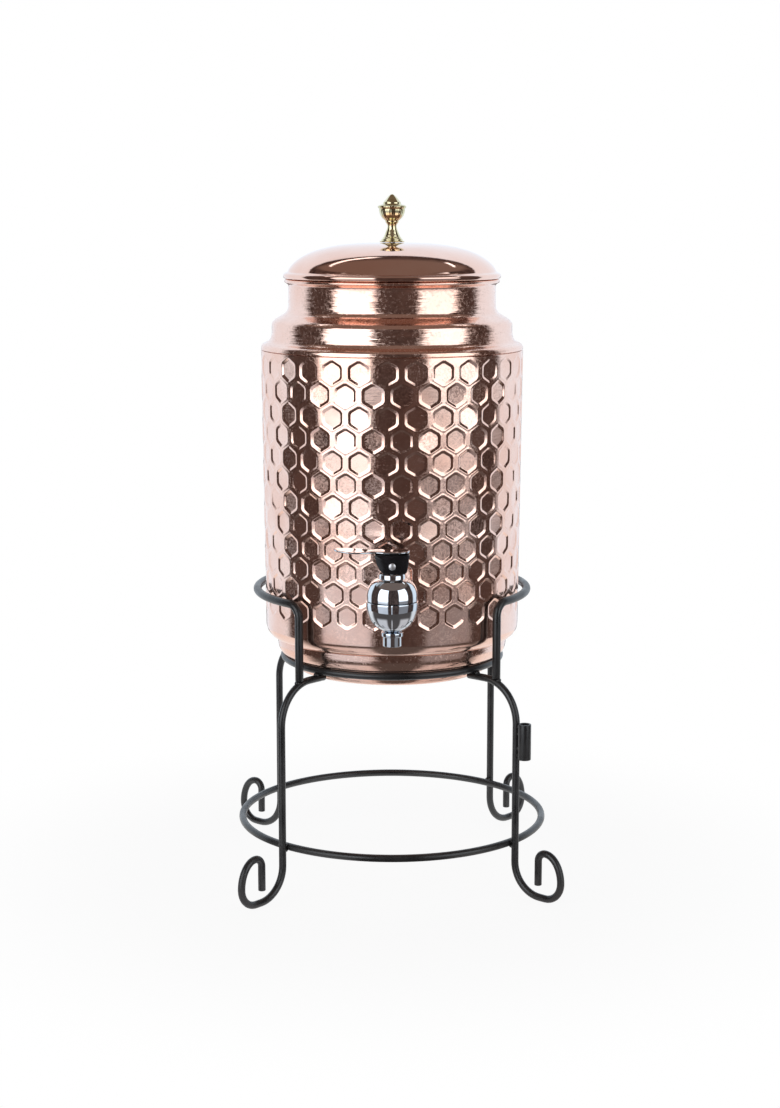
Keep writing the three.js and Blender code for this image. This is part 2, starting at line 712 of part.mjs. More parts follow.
function knobWasherPiece() {
  const top = lidInside - seatGap;
  return piece('knob_washer', tube(knobWasherRadius, screwRadius + seatGap, top - knobWasher, top), steel);
}

function knobScrew() {
  const headTop = lidInside - seatGap - knobWasher - seatGap;
  const profile = [
    point(0, headTop - screwHead),
    point(screwHeadRadius * screwHeadFaceShare, headTop - screwHead),
    point(screwHeadRadius, headTop - screwHead / 2),
    point(screwHeadRadius, headTop),
    point(screwRadius, headTop),
    point(screwRadius, lidApex + seatGap + screwReach),
    point(0, lidApex + seatGap + screwReach),
  ];
  return piece('knob_screw', turned(profile, tinySegments), steel);
}

// Tap, in a frame of its own with the stem's axis at x = y = 0 and the pot behind it

const wallRadius = barrelRadius(shankHeight);
const tapOffset = wallRadius + tapReach;
const wallPlace = tapReach; // y of the barrel's outer wall, in the tap's frame
const seatTop = chamberFloor + seatLip;

// The barrel's own curve, as a bar that washers are fitted to
function wallBar(radius) {
  const height = 2 * (washerRadius + overrun);
  const bar = new THREE.CylinderGeometry(radius, radius, height, 4 * smallSegments);
  return closedSurface(bar.rotateX(Math.PI / 2).translate(0, tapOffset, shankHeight));
}

// The bowl, its nozzle and its shank are one casting with a chamber, an inlet and an outlet
function tapBody() {
  const bowl = quarterDome(bowlRadius, bowlRim, bowlFoot - bowlRim, bowlFulnessShare, 6, bowlFootShare).reverse();
  const collarFoot = bowlFoot - nozzleCollar;
  const outside = [
    point(0, nozzleEnd),
    point(nozzleRadius, nozzleEnd),
    point(nozzleRadius, collarFoot),
    point(nozzleRadius + nozzleCollarLap, collarFoot),
    point(nozzleRadius + nozzleCollarLap, bowlFoot),
    ...bowl,
    point(0, bowlRim),
  ];
  const flangeFace = wallPlace - seatGap - washerThickness - seatGap;
  const shankEnd = wallPlace + barrelWall + shankInside;
  const flange = barAlongY(flangeRadius, flangeFace - flangeThickness, flangeFace, shankHeight);
  const shank = barAlongY(shankRadius, 0, shankEnd, shankHeight);
  const bore = barAlongY(shankBore, 0, shankEnd + overrun, shankHeight);
  const chamber = turned([
    point(0, chamberFloor),
    point(nozzleBore, chamberFloor),
    point(nozzleBore, seatTop),
    point(nozzleBore + seatLip, seatTop),
    point(nozzleBore + 2 * seatLip, chamberFloor),
    point(chamberRadius - chamberChamfer, chamberFloor),
    point(chamberRadius, chamberFloor + chamberChamfer),
    point(chamberRadius, bowlRim + overrun),
    point(0, bowlRim + overrun),
  ], smallSegments);
  const outlet = closedSurface(
    new THREE.CylinderGeometry(nozzleBore, nozzleBore, seatTop - nozzleEnd + 2 * overrun, smallSegments)
      .rotateX(Math.PI / 2)
      .translate(0, 0, (seatTop + nozzleEnd) / 2),
  );
  const body = carved(turned(outside, smallSegments), [shank, flange], [chamber, outlet, bore]);
  return piece('tap_body', body, chrome);
}

// The bonnet screws into the bowl and carries the level face that the cam runs on
function tapBonnet() {
  const foot = bowlRim + seatGap;
  const spigotRadius = chamberRadius - seatGap;
  const rise = (bonnetShoulder - foot) / Math.sin((Math.PI / 2) * bonnetTopShare) ** (2 / bonnetFulnessShare);
  const dome = quarterDome(bonnetRadius, foot, rise, bonnetFulnessShare, 4, bonnetTopShare);
  const stemBore = stemRadius + seatGap;
  const hollow = spigotRadius - bonnetWall;
  const ceiling = bonnetShoulder - bonnetWall;
  const profile = [
    point(spigotRadius, foot - bonnetSpigot),
    point(spigotRadius, foot),
    ...dome,
    point(bonnetNeckRadius, bonnetShoulder),
    point(bonnetNeckRadius, bonnetTop),
    point(stemBore, bonnetTop),
    point(stemBore, ceiling),
    point(hollow, ceiling),
    point(hollow, foot - bonnetSpigot),
  ];
  return piece('tap_bonnet', turnedRing(profile, smallSegments), chrome);
}

function outerWasher() {
  const front = wallPlace - seatGap - washerThickness;
  const disc = barAlongY(washerRadius, front, wallPlace + washerThickness, shankHeight);
  const hole = barAlongY(shankRadius + seatGap, front - overrun, wallPlace + overrun, shankHeight);
  const washer = carved(disc, [], [hole, wallBar(barrelRadius(shankHeight + washerRadius) + seatGap)]);
  return piece('outer_washer', washer, rubber);
}

const nutFace = wallPlace + barrelWall + seatGap + washerThickness + seatGap;

function innerWasher() {
  const facetShare = Math.cos(Math.PI / cellColumns); // the barrel's inside is this much nearer between corners
  const inside = (barrelRadius(shankHeight - washerRadius) - barrelWall) * facetShare - seatGap;
  const back = nutFace - seatGap;
  const disc = barAlongY(washerRadius, wallPlace - washerThickness, back, shankHeight);
  const hole = barAlongY(shankRadius + seatGap, wallPlace - washerThickness - overrun, back + overrun, shankHeight);
  const cut = solidOf(disc).subtract(solidOf(hole)).intersect(solidOf(wallBar(inside)));
  return piece('inner_washer', geometryOf(cut), rubber);
}

function tapNut() {
  const corner = nutFlats / 2 / Math.cos(Math.PI / 6);
  const nut = barAlongY(corner, nutFace, nutFace + nutThickness, shankHeight, 6);
  const thread = barAlongY(shankRadius + seatGap, nutFace - overrun, nutFace + nutThickness + overrun, shankHeight);
  return piece('tap_nut', carved(nut, [], [thread]), brass);
}

const cupFoot = seatTop + seatGap;
const cupTop = cupFoot + cupHeight;
const springTop = bonnetShoulder - bonnetWall - seatGap - springWasher - seatGap;

// Seat cup: a soft plug that closes the outlet, with a socket for the stem's end
function seatCup() {
  const socket = cupFoot + cupHeight / 2;
  const profile = [
    point(0, cupFoot),
    point(cupRadius - cupChamfer, cupFoot),
    point(cupRadius, cupFoot + cupChamfer),
    point(cupRadius, cupTop),
    point(stemRadius + seatGap, cupTop),
    point(stemRadius + seatGap, socket),
    point(0, socket),
  ];
  return piece('seat_cup', turned(profile, tinySegments), silicone);
}

// Stem: a rod from the seat cup to the eye that the lever's pin goes through
function tapStem() {
  const foot = cupFoot + cupHeight / 2 + seatGap;
  const outline = [point(0, foot), point(stemRadius, foot), point(stemRadius, pinHeight), point(0, pinHeight)];
  const rod = turned(outline, tinySegments);
  const half = stemEyeThickness / 2;
  const eye = barAlongY(stemEyeRadius, -half, half, pinHeight);
  const hole = barAlongY(pinRadius + seatGap, -half - overrun, half + overrun, pinHeight, tinySegments);
  return piece('tap_stem', carved(rod, [eye], [hole]), steel);
}

// Closing spring between the seat cup and the washer under the bonnet
function stemSpring() {
  const bottom = cupTop + seatGap + springWire / 2;
  const top = springTop - springWire / 2;
  const steps = springTurns * springSteps;
  const stations = Array.from({ length: steps + 1 }, (_, i) => {
    const angle = (2 * Math.PI * i) / springSteps;
    const height = bottom + ((top - bottom) * i) / steps;
    return new THREE.Vector3(springRadius * Math.cos(angle), springRadius * Math.sin(angle), height);
  });
  return piece('stem_spring', bentRod(stations, rodSection(springWire, springSides)), steel);
}

function springWasherPiece() {
  const bottom = springTop + seatGap;
  const washer = tube(springWasherRadius, stemRadius + seatGap, bottom, bottom + springWasher);
  return piece('spring_washer', washer, steel);
}

// Half of the cam in the hub's upright plane, from its level foot outwards. At each turn the face is
// h = foot + rate x turn from the pin, so tilting the lever lifts the pin by the rate, always on the bonnet.
function camCurve() {
  const footDrop = pinHeight - bonnetTop - seatGap;
  return Array.from({ length: camSteps + 1 }, (_, i) => {
    const turn = THREE.MathUtils.degToRad((camTurn * i) / camSteps);
    const drop = footDrop + camRate * turn;
    const across = drop * Math.sin(turn) + camRate * Math.cos(turn);
    return point(across, pinHeight - drop * Math.cos(turn) + camRate * Math.sin(turn));
  });
}

function leverHub() {
  const half = hubTopWidth / 2;
  const curve = camCurve();
  const right = [...curve, point(half - hubShoulder, pinHeight + hubShoulder), point(half, hubHeight)];
  const outline = [...right, ...right.map(({ x, y }) => point(-x, y)).reverse()];
  const slotWidth = stemEyeThickness + slideGap;
  const slotTop = pinHeight + stemEyeRadius + slideGap;
  const slotFoot = bonnetTop - overrun;
  const slot = new THREE.BoxGeometry(hubTopWidth + overrun, slotWidth, slotTop - slotFoot);
  slot.translate(0, 0, (slotTop + slotFoot) / 2);
  const hole = barAlongY(pinRadius + seatGap, -hubDepth, hubDepth, pinHeight, tinySegments);
  return piece('lever_hub', carved(plateAcrossY(outline, hubDepth), [], [slot, hole]), blackPlastic);
}

function leverPin() {
  const half = hubDepth / 2 + seatGap;
  return piece('lever_pin', barAlongY(pinRadius, -half, half, pinHeight, tinySegments), steel);
}

// Paddle: a flat plate with a head over the hub, a narrower waist and a spoon-shaped tongue
function leverPaddle() {
  const head = paddleHeadDepth / 2;
  const waist = paddleWaistDepth / 2;
  const tongue = paddleTongueDepth / 2;
  const middle = THREE.MathUtils.lerp(paddleHeadLength, paddleReach, paddleMiddleShare);
  const handle = middle + (paddleReach - middle) / roundedEndShare;
  const shape = new THREE.Shape();
  shape.moveTo(paddleHeadLength - head / 2, -head);
  shape.quadraticCurveTo(paddleHeadLength, -head, paddleHeadLength, 0);
  shape.quadraticCurveTo(paddleHeadLength, head, paddleHeadLength - head / 2, head);
  shape.lineTo(-paddleHeadLength / 2, head);
  shape.quadraticCurveTo(-paddleHeadLength, waist, -paddleHeadLength - waist / 2, waist);
  shape.quadraticCurveTo(-middle, tongue, -middle, tongue);
  shape.bezierCurveTo(-handle, tongue, -handle, -tongue, -middle, -tongue);
  shape.lineTo(-paddleHeadLength - waist / 2, -waist);
  shape.quadraticCurveTo(-paddleHeadLength, -waist, -paddleHeadLength / 2, -head);
  const settings = { depth: paddleThickness, bevelEnabled: false, curveSegments: 4 };
  const plate = new THREE.ExtrudeGeometry(shape, settings).translate(0, 0, hubHeight + seatGap);
  return piece('lever_paddle', closedSurface(plate), chrome);
}

function tap() {
  const group = new THREE.Group();
  group.add(tapBody(), tapBonnet(), outerWasher(), innerWasher(), tapNut());
  group.add(seatCup(), tapStem(), stemSpring(), springWasherPiece());
  group.add(leverHub(), leverPin(), leverPaddle());
  group.position.y = -tapOffset;
  return group;
}

function lid() {
  const group = new THREE.Group();
  group.add(lidShell(), lidCollar(), lidKnob(), knobWasherPiece(), knobScrew());
  return group;
}

// The origin is on the floor, under the middle of the whole dispenser
function dispenser() {
  const group = new THREE.Group();
  group.add(stand(), potBase(), potBarrel(), potShoulder(), lid(), tap());
  const middle = new THREE.Box3().setFromObject(group, true).getCenter(new THREE.Vector3());
  group.position.set(-middle.x, -middle.y, 0);
  return group;
}

export default dispenser();
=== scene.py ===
"""Copper water dispenser with a chromed lever tap on a black rod stand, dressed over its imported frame."""

import bmesh
import bpy
import numpy as np
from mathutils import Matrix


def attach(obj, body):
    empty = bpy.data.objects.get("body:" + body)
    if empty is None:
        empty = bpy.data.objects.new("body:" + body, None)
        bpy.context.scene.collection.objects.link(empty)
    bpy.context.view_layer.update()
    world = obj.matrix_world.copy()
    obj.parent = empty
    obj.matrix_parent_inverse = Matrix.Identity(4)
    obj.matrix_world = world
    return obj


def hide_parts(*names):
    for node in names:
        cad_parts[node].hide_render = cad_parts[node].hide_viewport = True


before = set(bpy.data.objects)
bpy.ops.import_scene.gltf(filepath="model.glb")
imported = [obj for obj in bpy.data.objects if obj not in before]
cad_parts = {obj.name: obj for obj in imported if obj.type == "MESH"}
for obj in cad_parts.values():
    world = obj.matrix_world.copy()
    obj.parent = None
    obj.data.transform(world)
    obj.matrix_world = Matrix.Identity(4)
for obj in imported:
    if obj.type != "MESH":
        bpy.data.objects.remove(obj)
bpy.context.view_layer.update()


# Legs
# Each leg is one length of round steel rod, bent cold on a jig: a level top under the pot, an upright and
# a scroll foot. The four are welded under the ring that carries the pot and powder coated satin black.

mm = 0.001
pot_axis = (0, 8.3676 * mm)
stand_turn = 3.5
rod_radius = 2.5 * mm
leg_turns = {"leg_front_right": 45, "leg_front_left": -45, "leg_back_right": 135, "leg_back_left": -135}
coat_black = (0.011, 0.011, 0.012, 1)
coat_grey = (0.022, 0.021, 0.021, 1)


def arc(centre, reach, rise, start, stop, steps=12):
    """Points on an ellipse: centre + (reach x cos t, rise x sin t), t from start to stop degrees."""
    t = np.radians(np.linspace(start, stop, steps))
    return np.stack([centre[0] + reach * np.cos(t), centre[1] + rise * np.sin(t)], axis=1)


def around(radius, turn, height, axis=pot_axis):
    """Places round an upright axis: x = r sin t and y = -r cos t from it, and z = height, with t in
    degrees from the front."""
    t = np.radians(turn)
    parts = (axis[0] + radius * np.sin(t), axis[1] - radius * np.cos(t), height + 0 * t)
    return np.stack(np.broadcast_arrays(*parts), axis=-1)


def grid_faces(grid, closed=False):
    """Faces of a grid whose point (i, j) is number i x columns + j. The last column meets the first one,
    and so does the last row where the grid is closed."""
    rows, columns = grid.shape[:2]
    i = np.arange(rows if closed else rows - 1)[:, None]
    j = np.arange(columns)[None, :]
    below, beside = (i + 1) % rows, (j + 1) % columns
    corners = (i * columns + j, i * columns + beside, below * columns + beside, below * columns + j)
    return np.stack(corners, axis=-1).reshape(-1, 4).tolist()


def new_piece(name, points, faces, finish, sharp=32):
    """A mesh of these points and faces. What meets is merged, faces point outwards, and edges sharper than
    the given degrees stay crisp."""
    mesh = bpy.data.meshes.new(name)
    mesh.from_pydata(points.reshape(-1, 3).tolist(), [], faces)
    work = bmesh.new()
    work.from_mesh(mesh)
    bmesh.ops.remove_doubles(work, verts=work.verts, dist=0.004 * mm)
    bmesh.ops.dissolve_degenerate(work, edges=work.edges, dist=0.001 * mm)
    bmesh.ops.recalc_face_normals(work, faces=work.faces)
    work.to_mesh(mesh)
    work.free()
    mesh.shade_smooth()
    mesh.set_sharp_from_angle(angle=np.radians(sharp))
    mesh.materials.append(finish)
    obj = bpy.data.objects.new(name, mesh)
    bpy.context.scene.collection.objects.link(obj)
    return obj


def unit(vectors):
    """Each vector divided by its own length."""
    return vectors / np.linalg.norm(vectors, axis=-1, keepdims=True)


def round_bar(path, side, radius, closed=False, steps=18):
    """Circles carried along a path: path + r (side cos t + up sin t), where side is square to the path and
    up is square to both. An open bar gets a cut face with an eased edge at both ends."""
    if closed:
        along = unit(np.roll(path, -1, axis=0) - np.roll(path, 1, axis=0))
    else:
        along = unit(np.gradient(path, axis=0))
    side = np.broadcast_to(side, path.shape)
    width = np.full(len(path), radius)
    if not closed:
        reach, share = radius * np.array([0.18, 0.18, 0.12, 0]), np.array([0, 0.8, 0.95, 1])
        head = path[:1] - along[:1] * reach[:3, None]
        tail = path[-1:] + along[-1:] * reach[2::-1, None]
        path = np.concatenate([head, path, tail])
        along = np.concatenate([along[:1].repeat(3, axis=0), along, along[-1:].repeat(3, axis=0)])
        side = np.concatenate([side[:1].repeat(3, axis=0), side, side[-1:].repeat(3, axis=0)])
        width = np.concatenate([radius * share[:3], width, radius * share[2::-1]])
    up = np.cross(along, side)
    t = np.linspace(0, 2 * np.pi, steps, endpoint=False)[:, None]
    ring = side[:, None] * np.cos(t) + up[:, None] * np.sin(t)
    return path[:, None] + width[:, None, None] * ring


def add(tree, kind, inputs=None, **settings):
    """Adds a shader node, sets its options, and gives each named input a value or a link."""
    node = tree.nodes.new("ShaderNode" + kind)
    for key, value in settings.items():
        setattr(node, key, value)
    for key, value in (inputs or {}).items():
        if isinstance(value, bpy.types.NodeSocket):
            tree.links.new(value, node.inputs[key])
        else:
            node.inputs[key].default_value = value
    return node


def times(tree, first, second):
    """The product of two values."""
    return add(tree, "Math", {0: first, 1: second}, operation="MULTIPLY").outputs[0]


def blend(tree, share, first, second):
    """Two colours mixed: the first one where the share is 0, the second one where it is 1."""
    return add(tree, "Mix", {0: share, 6: first, 7: second}, data_type="RGBA").outputs[2]


def spread(tree, value, low, high, least=0, most=1, steps="LINEAR"):
    """A value's range from low to high laid over the range from least to most, with what lies past held."""
    limits = {"From Min": low, "From Max": high, "To Min": least, "To Max": most}
    return add(tree, "MapRange", {"Value": value, **limits}, interpolation_type=steps).outputs["Result"]


def new_group(name, inputs, outputs):
    """An empty shader node group with float inputs and their defaults, and named outputs."""
    group = bpy.data.node_groups.new(name, "ShaderNodeTree")
    for label, value in inputs.items():
        entry = group.interface.new_socket(label, in_out="INPUT", socket_type="NodeSocketFloat")
        entry.default_value = value
    for label, kind in outputs.items():
        group.interface.new_socket(label, in_out="OUTPUT", socket_type=kind)
    return group, group.nodes.new("NodeGroupInput"), group.nodes.new("NodeGroupOutput")


def handling_group():
    """Soft cloudy patches, as hands and cloths leave them, and specks 24 times finer: noise on Object
    coordinates, spread to 0-1."""
    group, given, result = new_group(
        "handling", {"Size": 30}, {"Patches": "NodeSocketFloat", "Specks": "NodeSocketFloat"})
    place = add(group, "TexCoord").outputs["Object"]
    cloud = add(group, "TexNoise", {"Vector": place, "Scale": given.outputs["Size"], "Detail": 4})
    finer = times(group, given.outputs["Size"], 24)
    grain = add(group, "TexNoise", {"Vector": place, "Scale": finer, "Detail": 3})
    group.links.new(spread(group, cloud.outputs["Fac"], 0.36, 0.64), result.inputs["Patches"])
    group.links.new(spread(group, grain.outputs["Fac"], 0.35, 0.65), result.inputs["Specks"])
    return group


handling = handling_group()


def new_material(name):
    """A material with its Principled shader, and its node tree."""
    material = bpy.data.materials.new(name)
    material.use_nodes = True
    return material, material.node_tree, material.node_tree.nodes["Principled BSDF"]


def speckled(name, dark, light, roughness, swing, size, peel, depth):
    """Coated or moulded surface: two near colours and two roughnesses mixed by patches, and a fine peel."""
    material, tree, shader = new_material(name)
    patches = add(tree, "Group", {"Size": size}, node_tree=handling).outputs["Patches"]
    gloss = spread(tree, patches, 0, 1, roughness - swing, roughness + swing)
    place = add(tree, "TexCoord").outputs["Object"]
    skin = add(tree, "TexNoise", {"Vector": place, "Scale": peel, "Detail": 2})
    bump = add(tree, "Bump", {"Height": skin.outputs["Fac"], "Strength": 0.6, "Distance": depth})
    tree.links.new(blend(tree, patches, dark, light), shader.inputs["Base Color"])
    tree.links.new(gloss, shader.inputs["Roughness"])
    tree.links.new(bump.outputs["Normal"], shader.inputs["Normal"])
    return material


powder_coat = speckled(
    "powder_coat", coat_black, coat_grey, roughness=0.33, swing=0.07, size=60, peel=900, depth=0.06 * mm)
coat_shader = powder_coat.node_tree.nodes["Principled BSDF"]
coat_shader.inputs["Specular IOR Level"].default_value = 0.6

leg_line = np.concatenate([
    [(70.4, 146.9)],
    arc((84.5, 118.9), 27, 28, 90, 0, 20),
    arc((132.5, 23.5), 21, 21, 180, 270, 14),
    arc((137.5, 15.5), 13, 13, -90, 0, 14),
    arc((137.5, 15.5), 13, 18.3, 0, 90, 14)[1:],
    arc((137.5, 27.8), 6, 6, 90, 180, 10)[1:],
    [(131.5, 19), (131.5, 11.3)],
]) * mm

for leg_name, turn in leg_turns.items():
    leg_turn = turn + stand_turn
    path = around(leg_line[:, 0], leg_turn, leg_line[:, 1])
    side = around(1, leg_turn + 90, 0.0, (0, 0))
    bar = round_bar(path, side, rod_radius)
    leg = new_piece("black_" + leg_name, bar, grid_faces(bar), powder_coat)
    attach(leg, "stand")
    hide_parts(leg_name)


# Rings
# Two hoops of the same rod, rolled and butt welded: the small one carries the pot's pan, the large one
# ties the legs together a hand's breadth over the floor.

hoop_sizes = {"support_ring": (75.6 * mm, 152.2 * mm), "lower_ring": (106.2 * mm, 35.6 * mm)}

for hoop_name, (hoop_radius, hoop_height) in hoop_sizes.items():
    path = around(hoop_radius, np.linspace(0, 360, 144, endpoint=False), hoop_height)
    bar = round_bar(path, (0, 0, 1), rod_radius, closed=True)
    hoop = new_piece("black_" + hoop_name, bar, grid_faces(bar, closed=True), powder_coat)
    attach(hoop, "stand")
    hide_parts(hoop_name)


# Cradle rail
# A slightly thicker rod that stands on both front legs, bends back and runs round the pot's back at one
# height, so that the pot can't slide off when it is carried. Welded to the legs.

rail_radius, rail_rod = 94 * mm, 2.8 * mm
rail_foot, rail_height, rail_bend = 148.4 * mm, 199.6 * mm, 9 * mm

rise = arc((0, rail_height - rail_bend), rail_bend, rail_bend, 180, 90, 12)
rise = np.concatenate([[(-rail_bend, rail_foot), (-rail_bend, 170 * mm)], rise])
right_turns = 45 + np.degrees((rise[:, 0] + rail_bend) / rail_radius)
hoop_turns = np.linspace(right_turns[-1], 360 - right_turns[-1], 90)[1:-1]
rail_turns = np.concatenate([right_turns, hoop_turns, 360 - right_turns[::-1]]) + stand_turn
rail_heights = np.concatenate([rise[:, 1], np.full(len(hoop_turns), rail_height), rise[::-1, 1]])
path = around(rail_radius, rail_turns, rail_heights)
bar = round_bar(path, around(1, rail_turns, 0.0, (0, 0)), rail_rod)
rail = new_piece("black_cradle_rail", bar, grid_faces(bar), powder_coat)
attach(rail, "stand")
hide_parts("cradle_rail")


# Holder socket
# A short piece of thin steel tube with open ends, welded upright to the outside of the right front leg
# and coated with it. The stalk of a cup hook or of a small sign can stand in it.

socket_axis = (88.9 * mm, -70.285 * mm)


def turned(outline, axis=pot_axis, steps=180):
    """Each outline point (radius, height), in mm, carried once round an upright axis."""
    outline = np.asarray(outline) * mm
    return around(outline[:, :1], np.linspace(0, 360, steps, endpoint=False)[None], outline[:, 1:], axis)


def eased(outline, radius, steps=5):
    """A quadratic curve in place of each inner corner: it leaves one side and meets the other at the given
    distance from the corner, or at 0.45 of a shorter side."""
    outline = np.asarray(outline, float)
    corner = outline[1:-1]
    back, ahead = outline[:-2] - corner, outline[2:] - corner
    start = corner + unit(back) * np.minimum(radius, 0.45 * np.linalg.norm(back, axis=1))[:, None]
    stop = corner + unit(ahead) * np.minimum(radius, 0.45 * np.linalg.norm(ahead, axis=1))[:, None]
    t = np.linspace(0, 1, steps)[None, :, None]
    curve = start[:, None] * (1 - t) ** 2 + corner[:, None] * 2 * t * (1 - t) + stop[:, None] * t ** 2
    return np.concatenate([outline[:1], curve.reshape(-1, 2), outline[-1:]])


tube_wall = eased([(3.1, 108), (3.1, 95.8), (4.4, 95.8), (4.4, 120.3), (3.1, 120.3), (3.1, 108)], 0.4)
tube_grid = turned(tube_wall[:-1], socket_axis, 40)
tube_faces = grid_faces(tube_grid, closed=True)
socket = new_piece("black_holder_socket", tube_grid, tube_faces, powder_coat)
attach(socket, "stand")
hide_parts("holder_socket")


# Weld beads
# Small painted beads of weld metal where rods cross: leg under ring, lower ring to leg, riser on leg and
# socket to leg. Each is a lump a little longer than it is wide.

bead_spots = np.array(
    [(75.6 + shift, turn, 149.6) for turn in leg_turns.values() for shift in (-1.9, 1.9)]
    + [(108.9, turn, 35.6 + shift) for turn in leg_turns.values() for shift in (-1.8, 1.8)]
    + [(94 + shift, turn, 147.6 - 0.4 * shift) for turn in (45, -45) for shift in (-2, 2)]
    + [(114.1, 45, height) for height in (98, 103, 113, 118)]
)
bead_half = np.array([1.9, 2.4, 1.5]) * mm


def lumps(middles, half, swell=0.12):
    """Closed lumps: middle + half sizes x (sin a cos b, sin a sin b, cos a), swollen by a wave of both
    angles."""
    a = np.linspace(0, np.pi, 9)[:, None]
    b = np.linspace(0, 2 * np.pi, 12, endpoint=False)[None]
    ball = np.stack([np.sin(a) * np.cos(b), np.sin(a) * np.sin(b), np.cos(a) + 0 * b], axis=-1)
    which = np.arange(len(middles))[:, None, None]
    wave = 1 + swell * np.sin(3 * b + which) * np.sin(2 * a + 1.7 * which)
    return middles[:, None, None] + half * ball * wave[..., None]


middles = around(bead_spots[:, 0] * mm, bead_spots[:, 1] + stand_turn, bead_spots[:, 2] * mm)
beads = lumps(middles, bead_half)
bead_faces = np.array(grid_faces(beads[0]))
bead_points = beads.shape[1] * beads.shape[2]
all_faces = (bead_faces + np.arange(len(beads))[:, None, None] * bead_points).reshape(-1, 4).tolist()
welds = new_piece("black_weld_beads", beads, all_faces, powder_coat, sharp=80)
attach(welds, "stand")


# Pot's pan
# The pot is raised from thin copper sheet in three parts. The pan is spun over a form: a flat foot that
# drops inside the ring, a step that rests on it, and a plain band that the barrel grips.

copper_light = (0.92, 0.65, 0.55, 1)
copper_deep = (0.86, 0.54, 0.43, 1)


def lines_group():
    """Fine lines left by the spinning tool: noise drawn out round the pot and packed tight along its
    height. It tilts the surface's normal sideways by up to Tilt, and reflections fray along the lines."""
    group, given, result = new_group(
        "tool_lines", {"Round": 90, "Along": 2600, "Tilt": 0.05},
        {"Normal": "NodeSocketVector", "Lines": "NodeSocketFloat"})
    place = add(group, "TexCoord").outputs["Object"]
    stretch = add(group, "CombineXYZ", {
        "X": given.outputs["Round"], "Y": given.outputs["Round"], "Z": given.outputs["Along"]})
    drawn = add(group, "VectorMath", {0: place, 1: stretch.outputs[0]}, operation="MULTIPLY").outputs[0]
    noise = add(group, "TexNoise", {"Vector": drawn, "Scale": 1, "Detail": 3, "Roughness": 0.6})
    amount = times(group, spread(group, noise.outputs["Fac"], 0.25, 0.75, -1, 1), given.outputs["Tilt"])
    normal = add(group, "NewGeometry").outputs["Normal"]
    sideways = add(group, "VectorMath", {0: normal, 1: (0, 0, 1)}, operation="CROSS_PRODUCT")
    push = add(group, "VectorMath", {0: sideways.outputs[0], "Scale": amount}, operation="SCALE")
    tilted = add(group, "VectorMath", {0: normal, 1: push.outputs[0]})
    even = add(group, "VectorMath", {0: tilted.outputs[0]}, operation="NORMALIZE")
    group.links.new(even.outputs[0], result.inputs["Normal"])
    group.links.new(noise.outputs["Fac"], result.inputs["Lines"])
    return group


tool_lines = lines_group()


def worked_metal(name, light, deep, roughness, swing, tilt, dent, patches=22):
    """Polished sheet or cast metal: two near colours mixed by patches, roughness that varies with specks x
    tool lines, normals frayed by the lines, and shallow dents from noise."""
    material, tree, shader = new_material(name)
    marks = add(tree, "Group", {"Size": patches}, node_tree=handling)
    lines = add(tree, "Group", {"Tilt": tilt}, node_tree=tool_lines)
    colour = blend(tree, marks.outputs["Patches"], light, deep)
    both = times(tree, marks.outputs["Specks"], lines.outputs["Lines"])
    gloss = spread(tree, both, 0, 1, roughness - swing, roughness + swing)
    place = add(tree, "TexCoord").outputs["Object"]
    waves = add(tree, "TexNoise", {"Vector": place, "Scale": 45, "Detail": 1})
    bump = add(tree, "Bump", {
        "Height": waves.outputs["Fac"], "Strength": 1, "Distance": dent, "Normal": lines.outputs["Normal"]})
    tree.links.new(colour, shader.inputs["Base Color"])
    tree.links.new(gloss, shader.inputs["Roughness"])
    tree.links.new(bump.outputs["Normal"], shader.inputs["Normal"])
    shader.inputs["Metallic"].default_value = 1
    return material


spun_copper = worked_metal(
    "spun_copper", copper_light, copper_deep, roughness=0.25, swing=0.19, tilt=0.07, dent=0.1 * mm)

pan_outside = np.concatenate([
    [(0, 143.8), (30, 143.8)],
    arc((64, 149), 5.2, 5.2, -90, 0, 8),
    arc((74.01, 152.2), 1.81, 2.8, 180, 90, 7),
    arc((75.6, 163.5), 4.3, 8.5, -90, 0, 10)[1:],
    [(79.9, 168.5)],
])
pan_inside = np.concatenate([
    [(78.9, 168.5)],
    arc((75.6, 163.5), 3.3, 7.5, 0, -90, 10),
    arc((74.01, 152.2), 2.8, 3.8, 90, 180, 7),
    arc((64, 149), 4.2, 4.2, 0, -90, 8),
    [(30, 144.8), (0, 144.8)],
])
pan_grid = turned(np.concatenate([pan_outside, pan_inside]))
pan = new_piece("copper_pan", pan_grid, grid_faces(pan_grid), spun_copper, sharp=50)
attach(pan, "pot")
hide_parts("pot_base")


# Barrel
# A strip of copper sheet is run between rollers that press a honeycomb into it, then bent round and
# seamed. Its foot is rolled in over the pan. Each cell is a sunk floor with six short sloping sides.

cell_rows, cell_columns, cell_circle = 12, 30, 90
cell_half_flats = np.array([5.6, 5.95, 7.2, 7.55, 7.9])
cell_depths = np.array([0.80, 0.73, 0.08, 0, 0])
inner_half_flats = np.array([5.0, 6.7])
inner_depths = np.array([1.0, 0])
row_pitch, column_pitch = 14.73, 2 * np.pi * cell_circle / cell_columns
first_row, top_margin = 355.8, 9.3
pot_turn = -2
sheet_wall = 1.0
tip_rise, corner_share = 10.085, 0.13
floor_rings, floor_flatness = 2, 0.8
floor_tilts = np.random.default_rng(7).normal(0, 0.022, (2, cell_rows, cell_columns, 1))


def barrel_radius(height):
    """The wall's radius grows evenly from 88 mm at the foot, 175.8 mm up, to 90 mm at the top, 365.8 mm
    up."""
    return 88 + 2 * np.clip((height - 175.8) / 190, 0, 1)


